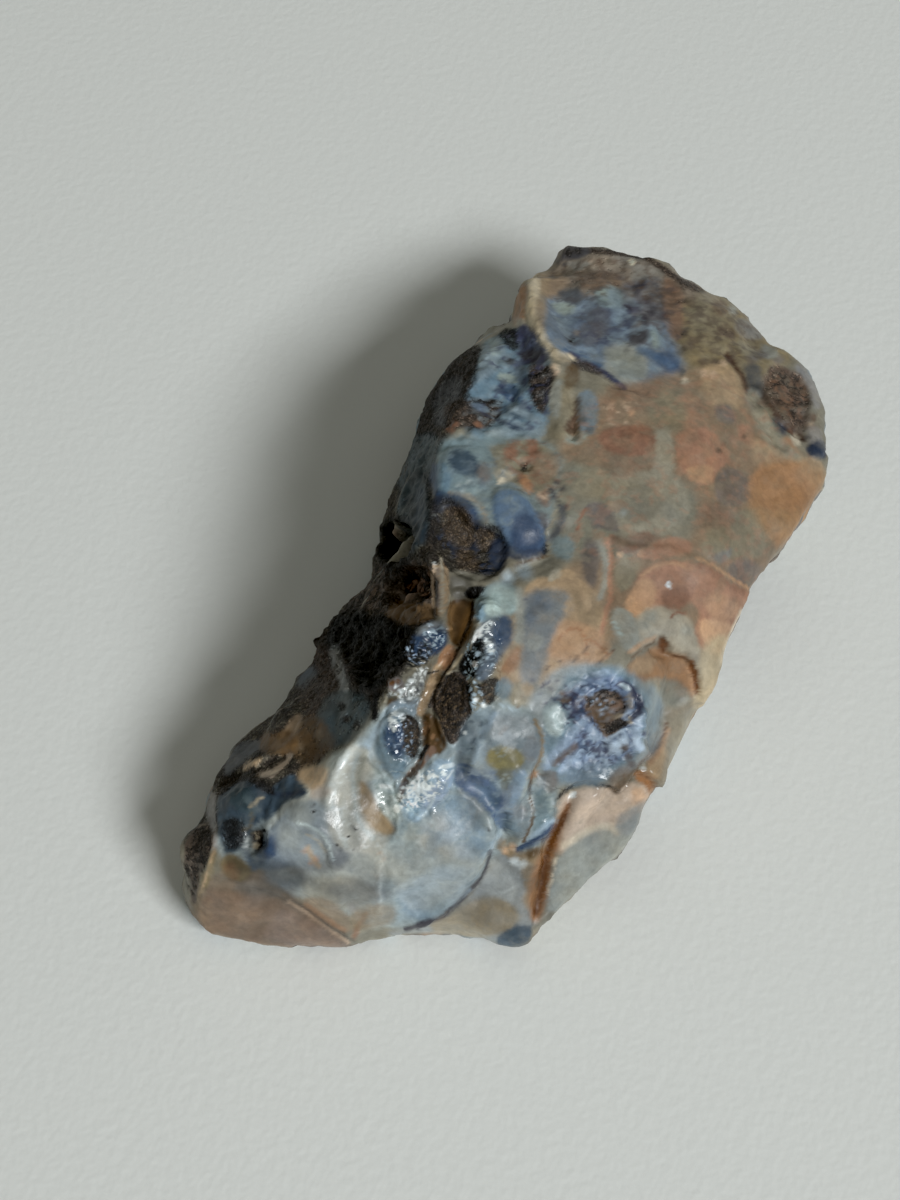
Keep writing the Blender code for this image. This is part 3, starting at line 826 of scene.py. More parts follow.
FAR_END = {
    "far crust": area("crust", [
        (546, 270), (556, 248), (575, 243), (600, 248), (640, 252), (670, 268), (705, 288), (738, 292),
        (705, 304), (660, 292), (610, 294), (562, 300), (540, 292)], 8),
    "orange corner of the crust": area("crust tan", [
        (534, 272), (550, 272), (568, 276), (566, 290), (546, 298), (538, 290)], 6),
    "brown row": area("brown", [
        (572, 272), (598, 270), (622, 274), (624, 284), (604, 290), (580, 288)], 6, 0.8),
    "grey top of the crust": area("grey", [(606, 256), (640, 256), (652, 268), (620, 270)], 6, 0.7),
    "mauve corner": area("grey", [(630, 266), (652, 262), (666, 274), (660, 290), (634, 284)], 6, 0.9),
    "dark rim": line("dark brown", [
        (588, 251), (620, 252), (645, 257), (665, 270), (682, 282), (702, 291)], 6, 3, 1.1, 0.4),
    "black knob": area("dark mottle", [
        (558, 262), (564, 246), (576, 242), (590, 248), (590, 256), (572, 260)], 4, 1.2, 0.5),
    "black of the knob": spots("black brown", [(568, 252), (578, 250)], 9, 4, 0.9, 0.5),
    "grey under the knob": area("grey", [(562, 263), (584, 260), (594, 266), (576, 272)], 4, 1.0),
    "dark spot under the knob": spots("dark mottle", [(565, 265), (558, 262)], 7, 4, 0.9),
    # A painted highlight: a pale glint on the crust's dark rim.
    "pale glint of the crust": spots("pale cream", [(631, 262)], 7, 3, 0.9, 0.4),
    "brown dots of the crust": spots("brown mottle", [
        (592, 278), (582, 284), (606, 276), (614, 262), (552, 276), (600, 262)], 7, 4, 0.9),
    "violet ground": area("violet grey", [
        (618, 288), (634, 280), (656, 276), (664, 292), (668, 318), (656, 340), (634, 346), (626, 330),
        (618, 306)], 7),
    "violet blotches": area("ink", [(622, 300), (640, 302), (642, 314), (626, 314)], 5, 0.7),
    "dark dots of the violet": spots("violet black", [
        (642, 286), (636, 290), (648, 300), (652, 312), (644, 318), (664, 316), (628, 308),
        (634, 334)], 9, 5, 0.95),
    "low dark blotch": area("dark mottle", [
        (628, 330), (646, 328), (650, 338), (636, 344), (628, 340)], 4, 1.1),
    "light gaps of the violet": spots("grey", [
        (630, 296), (646, 294), (656, 300), (640, 324)], 6, 4, 0.6),
    "blue corner's dark top": area("lead", [
        (556, 290), (576, 286), (588, 294), (580, 304), (562, 300)], 5),
    "green cloud": area("cloud", [(552, 302), (566, 300), (578, 308), (572, 317), (556, 314)], 5, 0.9),
    "blue ground of the corner": area("dim blue", [
        (546, 306), (560, 316), (590, 312), (612, 316), (622, 332), (610, 348), (588, 344), (560, 340),
        (546, 326)], 7),
    "strong blue stroke": line("strong blue", [(566, 350), (584, 356), (600, 366)], 6, 4, 0.9),
    "purple of the corner": area("violet grey", [
        (580, 320), (600, 322), (602, 342), (586, 348), (578, 336)], 6, 0.85),
    "pit of the blue corner": area("lead", [
        (566, 330), (578, 328), (584, 340), (576, 348), (568, 344)], 4, 0.9),
    "speck of the pit": spots("crust", [(577, 333)], 6, 3, 0.9, 0.4),
    "small dark dot": spots("black brown", [(572, 340)], 5, 2, 1.2, 0.4),
    "teal cloud": area("teal", [
        (596, 288), (608, 284), (622, 292), (624, 308), (606, 312), (596, 302)], 6, 0.95),
    "green heart of the cloud": spots("cloud", [(604, 294), (612, 302)], 10, 6, 0.7),
    "grey blue below it": area("blue grey", [
        (606, 308), (628, 306), (634, 330), (620, 342), (604, 326)], 7, 0.85),
    "light drop": area("mist", [(647, 326), (657, 324), (662, 340), (658, 352), (648, 346)], 4, 1.0),
    "dark blue blob": area("deep blue", [
        (652, 354), (670, 354), (682, 366), (672, 374), (658, 370)], 6, 0.85),
    "dark tail of the blob": spots("lead", [(681, 372), (640, 348)], 7, 4, 0.9),
    "pale green cloud": area("dove", [
        (602, 350), (618, 342), (638, 344), (650, 360), (648, 378), (626, 388), (606, 374)], 8, 0.85),
    "edge of the blue corner": line("ink", [(572, 354), (600, 369), (624, 388)], 6, 3, 1.0, 0.4),
    "dark start of the edge": area("dark brown", [
        (560, 358), (580, 356), (600, 366), (606, 376), (592, 374), (574, 366)], 4, 0.9),
    "specks by the edge": spots("pale cream", [(685, 380), (570, 357)], 7, 4, 0.8),
    "rusty strip": area("red brown", [
        (662, 276), (682, 284), (686, 330), (676, 345), (664, 322)], 7, 0.95),
    "dark spots of the strip": spots("dark brown", [
        (683, 286), (678, 302), (686, 300), (684, 333), (683, 348)], 7, 4, 0.8),
    "khaki side": area("khaki", [
        (690, 292), (720, 290), (740, 308), (728, 340), (700, 350), (688, 322)], 9, 0.7),
    "brown spot": spots("brown", [(722, 310), (718, 306)], 11, 6, 0.8),
    "grey spot": spots("dove", [(733, 310), (738, 303)], 9, 5, 0.8),
    "dark olive spots": spots("brown mottle", [
        (732, 334), (724, 330), (704, 362), (714, 362), (730, 360), (690, 344)], 10, 6, 0.8),
    "dark crack": line("crack dark", [(727, 355), (742, 376), (748, 392)], 6, 3, 1.0, 0.5),
    "blue grey band": area("grey", [(734, 318), (752, 322), (764, 336), (750, 342), (736, 332)], 5, 0.95),
    "khaki gap of the band": area("khaki", [
        (738, 338), (756, 342), (762, 356), (748, 362), (738, 350)], 6, 0.9),
    "pale spot in the band": area("dove", [(760, 342), (774, 346), (776, 358), (764, 360)], 5, 0.9),
    "mauve spots of the band": spots("dusk", [(762, 354), (752, 358), (778, 360)], 10, 6, 0.8),
    # Painted shade in the groove below the band, in dark lead-grey.
    "dark foot of the band": area("lead", [
        (742, 362), (760, 362), (764, 384), (762, 410), (754, 400), (748, 384)], 6, 0.85),
    "green grey foot": line("dove", [(752, 392), (758, 406), (764, 420)], 8, 5, 0.8),
    "tan zone": area("pale tan", [
        (700, 372), (716, 364), (738, 372), (748, 400), (736, 412), (704, 402)], 7, 0.85),
    "pink lights of it": spots("pink cream", [(704, 374), (713, 375), (722, 364)], 7, 4, 0.8),
    "olive spot": area("dusk", [(714, 402), (732, 404), (736, 420), (722, 424), (714, 414)], 7, 0.85),
    "dark mottles of the far end": mottle("dark mottle", [
        (545, 290), (650, 270), (690, 300), (690, 350), (640, 350), (600, 352),
        (552, 330)], 1.1, 0.22, 8, 0.55),
    "dark mottles of the crust": mottle("brown mottle", [
        (548, 262), (640, 256), (700, 290), (740, 310), (770, 350), (748, 366), (700, 356), (664, 300),
        (560, 290)], 0.8, 0.36, 6, 0.6),
    "light mottles of the far end": mottle("mist", [
        (545, 296), (640, 288), (690, 372), (620, 384), (550, 340)], 1.3, 0.22, 10, 0.45),
    "dark streaks of the blue corner": mottle("ink", [
        (586, 300), (604, 310), (632, 306), (640, 326), (622, 344), (592, 346),
        (574, 330)], 1.0, 0.36, 5, 0.6),
    "violet cloud of the corner": area("violet grey", [
        (588, 306), (606, 310), (612, 326), (600, 340), (586, 330)], 8, 0.6),
    "pale streak of the corner": area("cloud", [(560, 300), (570, 306), (566, 318), (556, 314)], 5, 0.7),
    "pale drop of the corner": area("mist", [
        (606, 288), (616, 290), (624, 306), (622, 324), (612, 322), (608, 304)], 5, 0.7),
    "second pale drop": area("cloud", [(650, 328), (656, 330), (658, 346), (652, 350)], 4, 0.7),
    "dark blue streak": line("strong blue", [(640, 350), (656, 358), (672, 366)], 8, 5, 0.7),
    "green of the pale cloud": area("haze green", [
        (600, 352), (624, 346), (646, 362), (642, 378), (616, 380)], 10, 0.6),
}

PALE_WELT = {
    "tan beside the welt": line("tan", [(543, 270), (542, 298), (538, 330)], 12, 8, 0.8),
    "welt": line("cream", [
        (533, 270), (534, 290), (530, 306), (533, 324), (546, 344), (558, 357), (570, 358)], 9, 6, 0.85),
    "welt top": line("cream", [(532, 270), (534, 292)], 11, 5),
    "orange left of the welt": line("orange", [(521, 288), (520, 304), (519, 320)], 11, 6, 0.85),
    "pink end of the welt": spots("pale cream", [(554, 367)], 9, 4, 0.9),
}

DARK_OVAL = {
    "oval": area("oval brown", [
        (762, 378), (774, 364), (790, 368), (804, 376), (812, 392), (810, 410), (806, 434), (795, 434),
        (782, 424), (768, 408), (760, 398)], 6),
    "oval speckles": mottle("black brown", [
        (764, 376), (790, 370), (808, 390), (804, 428), (780, 416)], 0.6, 0.3, 6, 0.8),
    "light speckles of the oval": mottle("rust", [
        (764, 376), (790, 370), (808, 390), (804, 428), (780, 416)], 0.7, 0.2, 6, 0.5),
    "dark foot of the oval": line("crack dark", [(762, 400), (785, 426), (803, 438)], 7, 4, 0.9),
    "pale rim of the oval": line("lilac grey", [(800, 368), (812, 382), (817, 404)], 9, 5, 0.9),
    "brown spot of the rim": spots("brown", [(813, 417)], 9, 5),
    "pink light": spots("pink cream", [(811, 426)], 8, 5, 0.8),
    "navy below": area("navy", [(768, 415), (784, 424), (788, 438), (774, 438)], 5, 0.9),
    "pale spot below": spots("pale cream", [(795, 440)], 10, 5, 0.8),
    "orange streak": line("orange", [(787, 441), (792, 450), (799, 460)], 8, 5),
    "grey knob": area("lilac grey", [(806, 424), (820, 424), (824, 446), (808, 446)], 5, 0.9),
    "olive band": line("pale green grey", [
        (760, 412), (772, 436), (788, 454), (808, 470), (826, 482)], 13, 9, 0.8),
    "dark knob": area("navy", [
        (808, 442), (818, 438), (829, 446), (828, 458), (812, 460), (804, 450)], 5, 1.1),
}

FLANK_TOP = {
    # Painted shade: the flank's edge, turned from the light, is painted in black-brown ironstone.
    "black edge of the flank": area("black brown", [
        (412, 402), (448, 358), (480, 342), (480, 362), (472, 372), (476, 388), (462, 400), (445, 430),
        (430, 440), (405, 470), (402, 440)], 6),
    "grey olive face": area("lead", [
        (440, 384), (460, 372), (462, 396), (450, 424), (436, 430), (432, 405)], 7, 0.55),
    "blue black face": area("teal dark", [
        (398, 442), (425, 432), (442, 440), (434, 462), (425, 500), (398, 490), (392, 465)], 9, 0.6),
    "pale teal column": area("mist", [
        (478, 360), (488, 342), (498, 336), (508, 350), (502, 362), (492, 376), (478, 382)], 5, 0.95),
    "light of the column": spots("cloud", [(494, 344), (496, 352)], 10, 6, 0.6),
    "steel below the column": area("steel", [
        (474, 382), (496, 372), (500, 390), (492, 400), (468, 398)], 5, 0.9),
    "black corner": area("black", [
        (496, 334), (506, 326), (518, 330), (522, 344), (514, 352), (504, 342)], 5, 1.1),
    "blue light above": spots("dove", [(520, 322)], 9, 5, 0.9),
    "navy above": area("ink", [
        (516, 326), (528, 324), (540, 340), (548, 352), (532, 354), (518, 344)], 5, 1.0),
    "violet black": area("violet black", [
        (518, 350), (534, 348), (548, 352), (550, 362), (534, 366), (520, 360)], 5, 1.1),
    "dark spot": spots("dark mottle", [(508, 359), (511, 362)], 8, 4, 1.0),
    "green light": area("cloud", [(495, 376), (508, 371), (518, 375), (520, 384), (505, 384)], 4, 0.95),
    "teal right of it": area("dim blue", [(514, 356), (528, 362), (528, 386), (516, 384)], 5, 0.9),
    "blue gap": area("deep blue", [(498, 386), (514, 383), (524, 394), (516, 404), (502, 400)], 5, 0.95),
    "grainy patch": area("dark brown", [
        (528, 366), (546, 362), (557, 372), (552, 392), (544, 416), (534, 410), (528, 390)], 4, 1.1),
    "black of the grainy patch": mottle("black", [
        (528, 366), (556, 370), (544, 414), (530, 400)], 0.7, 0.35, 4, 0.9),
    "slate under the gap": area("slate", [
        (502, 404), (524, 402), (534, 412), (520, 422), (504, 418)], 5, 0.95),
    "light streak": line("mist", [(512, 408), (526, 415), (542, 424)], 7, 4, 0.9, 0.5),
    "second light streak": line("mist", [(516, 424), (530, 430), (544, 432)], 7, 4, 0.85, 0.5),
    "navy by the band": line("navy", [(500, 422), (512, 427), (522, 433)], 6, 3, 1.0, 0.5),
    "brown patch": area("dark brown", [
        (446, 404), (462, 400), (474, 404), (500, 400), (502, 420), (484, 430), (462, 426), (450, 434),
        (444, 420)], 5, 1.1),
    "black over the patch": line("black brown", [(472, 400), (486, 401), (500, 404)], 5, 3, 1.0, 0.4),
    "red spots of the brown patch": spots("dull rust", [(455, 424), (451, 431), (478, 424)], 7, 4, 0.9),
    "pale fleck": crisp("blue grey", [
        (470, 404), (478, 402), (489, 408), (486, 414), (477, 410)], 3, 1.3),
    "pale blue band": area("mist", [
        (483, 432), (496, 428), (516, 434), (540, 430), (546, 438), (520, 444), (498, 442)], 5, 1.0),
    "white of the band": line("blue white", [(488, 434), (502, 435), (518, 440)], 6, 4, 0.9, 0.5),
    "tan stripe": area("khaki", [
        (552, 380), (562, 372), (578, 376), (574, 400), (576, 436), (556, 444), (548, 420)], 5),
    "light in the stripe": area("dove", [
        (552, 382), (562, 376), (563, 398), (556, 420), (549, 410)], 5, 0.95),
    "brown head of the stripe": area("groove brown", [
        (562, 366), (582, 364), (580, 384), (566, 392)], 5, 0.8),
    "pink flecks of the stripe": spots("pink cream", [(553, 366), (556, 372)], 6, 3, 0.9),
    "blue patch by the stripe": area("drop blue", [
        (578, 392), (590, 387), (599, 398), (598, 424), (592, 436), (580, 430), (576, 408)], 4, 1.0),
    "dark foot of the blue patch": spots("lead", [(590, 428), (584, 420)], 9, 6, 0.7),
    "green white lights": spots("cloud", [(577, 441), (583, 436), (570, 440)], 9, 5, 0.8),
    "dark mottles of the flank top": mottle("ink", [
        (484, 346), (520, 330), (548, 345), (552, 430), (492, 434), (476, 404)], 1.0, 0.2, 6, 0.7),
    "light mottles of the flank top": mottle("mist", [
        (480, 346), (510, 340), (526, 400), (546, 432), (486, 436), (470, 404)], 0.8, 0.2, 6, 0.5),
    "dark edge of the stripe": line("crack dark", [(577, 400), (575, 414), (572, 426)], 5, 3, 0.9, 0.5),
    "brown blot of the stripe": area("crack dark", [
        (565, 418), (574, 414), (579, 428), (572, 436), (564, 430)], 4, 0.9),
}

OVALS = {
    "ground of the ovals": area("teal", [
        (436, 446), (460, 432), (500, 436), (548, 436), (560, 460), (556, 500), (552, 540), (500, 560),
        (470, 500), (436, 500)], 10, 0.8),
    "tan by the ovals": area("khaki", [
        (488, 446), (520, 440), (552, 444), (560, 480), (545, 500), (520, 490), (490, 470)], 8, 0.95),
    "first oval": area("teal", [
        (436, 462), (446, 444), (460, 436), (486, 440), (496, 462), (490, 484), (470, 494), (446, 498),
        (434, 482)], 5),
    "dark inside of the first oval": area("slate", [
        (446, 458), (452, 450), (468, 452), (480, 464), (482, 474), (470, 480), (454, 472)], 5, 1.1),
    "blue left side": area("steel", [
        (436, 462), (444, 458), (452, 480), (448, 500), (438, 498), (433, 480)], 5, 0.9),
    "deep blue left side": line("deep blue", [(435, 466), (434, 482), (440, 500)], 7, 5, 0.8),
    "grey right side": area("dusk", [(480, 462), (494, 466), (490, 484), (476, 486)], 5, 0.8),
    "light flecks": spots("milk", [(461, 490), (468, 482), (458, 486)], 4, 2, 0.9),
    "orange spots": area("dull rust", [
        (504, 446), (514, 443), (518, 452), (510, 460), (504, 454)], 4, 1.0),
    "brown spots": area("dull rust", [
        (528, 440), (540, 440), (540, 456), (530, 462), (526, 450)], 5, 0.9),
    "field by the pit": area("field brown", [
        (536, 456), (556, 450), (558, 476), (540, 490), (528, 474)], 6, 0.9),
    "pit": crisp("black brown", [(519, 470), (521, 463), (528, 460), (528, 468), (525, 472)], 2, 1.4),
    "pit's brown rim": line("red brown", [(516, 462), (522, 457), (530, 459)], 4, 3, 0.8),
    "orange stroke": area("bright orange", [
        (514, 476), (524, 474), (534, 486), (533, 498), (524, 492)], 4, 1.0),
    "red below the stroke": area("red brown", [(534, 494), (548, 490), (552, 504), (540, 506)], 5, 0.9),
    "purple spots": spots("violet black", [(552, 490), (563, 488), (555, 496), (558, 482)], 6, 3, 0.9),
    "pink flecks": spots("pink cream", [(546, 498), (541, 495)], 5, 3, 0.9),
    "dark crack below": line("dark mottle", [(559, 502), (562, 508), (568, 506)], 3, 2, 1.0, 0.3),
    "cream cloud": area("pale grey", [
        (494, 472), (506, 468), (514, 476), (510, 482), (498, 484)], 5, 0.9),
    "white fleck": spots("pale cream", [(499, 482), (502, 480)], 5, 3, 1.0),
    "grey right of the second oval": area("violet grey", [
        (532, 512), (548, 512), (550, 526), (543, 536), (538, 522)], 4, 0.9),
    "black line under the ovals": crisp("black", [
        (541, 536), (545, 540), (548, 550), (544, 556), (540, 550)], 2, 1.3),
    "olive line under the ovals": stroke("groove brown", [(546, 556), (530, 561), (514, 566)], 3),
    "khaki between": line("grey tan", [(450, 494), (470, 496), (484, 508), (486, 522)], 5, 3, 0.9, 0.5),
    "grey arc": line("lead", [(562, 506), (563, 518), (557, 532), (549, 540)], 7, 4, 0.9, 0.4),
    "light line of the arc": stroke("warm grey", [(556, 510), (552, 524), (545, 534)], 3),
    "teal below the arc": area("teal", [
        (550, 540), (562, 534), (576, 545), (570, 560), (554, 556)], 6, 0.8),
    "milky wisps of the ovals": mottle("mist", [
        (436, 450), (490, 444), (540, 500), (520, 530), (500, 540), (436, 500)], 0.8, 0.2, 6, 0.4),
    "dark wisps of the ovals": mottle("slate", [
        (440, 450), (484, 446), (548, 500), (546, 552), (500, 552), (440, 500)], 0.8, 0.22, 6, 0.4),
    "rust wisps by the ovals": mottle("dull rust", [
        (500, 440), (556, 436), (562, 500), (540, 500), (504, 470)], 0.8, 0.25, 6, 0.5),
    "second oval": area("oval blue", [
        (492, 500), (498, 490), (512, 488), (526, 498), (542, 524), (546, 540), (540, 552), (522, 556),
        (506, 544), (496, 528)], 4, 1.1, 0.5),
    "deep side of the second oval": area("deep blue", [
        (512, 516), (530, 512), (541, 526), (545, 542), (538, 552), (522, 554), (508, 544)], 8, 1.1, 0.6),
    "navy foot of the second oval": area("navy", [
        (506, 540), (524, 550), (544, 546), (544, 556), (516, 562), (500, 552)], 5, 0.9),
    "pale streaks of the second oval": mottle("mist", [
        (494, 500), (510, 490), (524, 506), (512, 530), (500, 536)], 0.7, 0.3, 5, 0.6),
    "blue between": area("deep blue", [
        (432, 490), (448, 494), (462, 496), (478, 508), (480, 528), (468, 528), (458, 510),
        (440, 504)], 5, 1.0),
}

SANDY_HOLLOW = {
    "ground of the sand": area("black brown", [
        (430, 500), (444, 496), (460, 504), (474, 524), (494, 522), (508, 540), (508, 560), (496, 576),
        (474, 580), (450, 574), (432, 560), (424, 530)], 6, 1.0),
    "navy in the sand": mottle("navy", [
        (430, 498), (450, 500), (480, 524), (510, 540), (506, 570), (480, 576), (450, 560),
        (428, 530)], 0.8, 0.42, 5, 0.9),
    "upper sand": area("sand", [
        (442, 512), (452, 506), (464, 510), (472, 522), (474, 540), (464, 550), (450, 544),
        (443, 530)], 5, 1.0),
    "right sand": area("sand", [
        (474, 532), (484, 526), (494, 532), (495, 546), (484, 554), (474, 548)], 5, 1.0),
    "lower sand": area("sand", [(456, 548), (472, 550), (480, 566), (470, 576), (456, 568)], 6, 0.8),
    "navy foot of the sand": area("navy", [
        (490, 538), (504, 542), (508, 560), (498, 574), (488, 560)], 6, 0.9),
    # Painted highlights: a white glint beside the sand, and one on the fin's tip.
    "white glint by the sand": spots("white", [(433, 515)], 3.4, 2),
    "glint on the fin's tip": stroke("white", [(434, 560), (436, 568)], 2.6, 2, 1.2),
    "green black band": area("teal dark", [
        (398, 486), (420, 478), (432, 500), (424, 540), (410, 560), (398, 520)], 8, 0.6),
    "blue strip": line("slate", [(420, 492), (419, 514), (422, 540)], 9, 6, 0.8),
    "dark between": area("black brown", [(426, 500), (440, 504), (438, 545), (428, 550)], 6, 0.8),
    # Painted shade: the hole's inside is painted near black.
    "hole": area("hole", [
        (381, 530), (395, 520), (409, 524), (413, 536), (411, 550), (403, 559), (391, 563), (379, 558),
        (377, 544)], 3),
    "red brown cavity": area("dark brown", [
        (396, 566), (420, 560), (438, 572), (440, 596), (420, 604), (396, 606), (380, 590)], 6),
    "red in the cavity": mottle("red brown", [
        (396, 566), (436, 566), (438, 600), (396, 604)], 0.8, 0.35, 5, 0.8),
    "olive below the cavity": area("groove brown", [
        (372, 600), (400, 604), (436, 604), (438, 622), (400, 622), (376, 612)], 6, 0.9),
    "pink streak": line("pink cream", [(430, 594), (433, 604), (437, 612)], 6, 3, 0.9),
    "fin": area("pale tan", [
        (432, 560), (448, 563), (450, 580), (448, 605), (442, 622), (437, 606), (438, 584)], 4),
    "groove's brown": area("groove brown", [
        (450, 600), (472, 598), (474, 630), (462, 650), (448, 640)], 5),
    "black spot of the head": area("black", [(464, 586), (484, 584), (486, 592), (470, 598)], 5, 0.8),
}

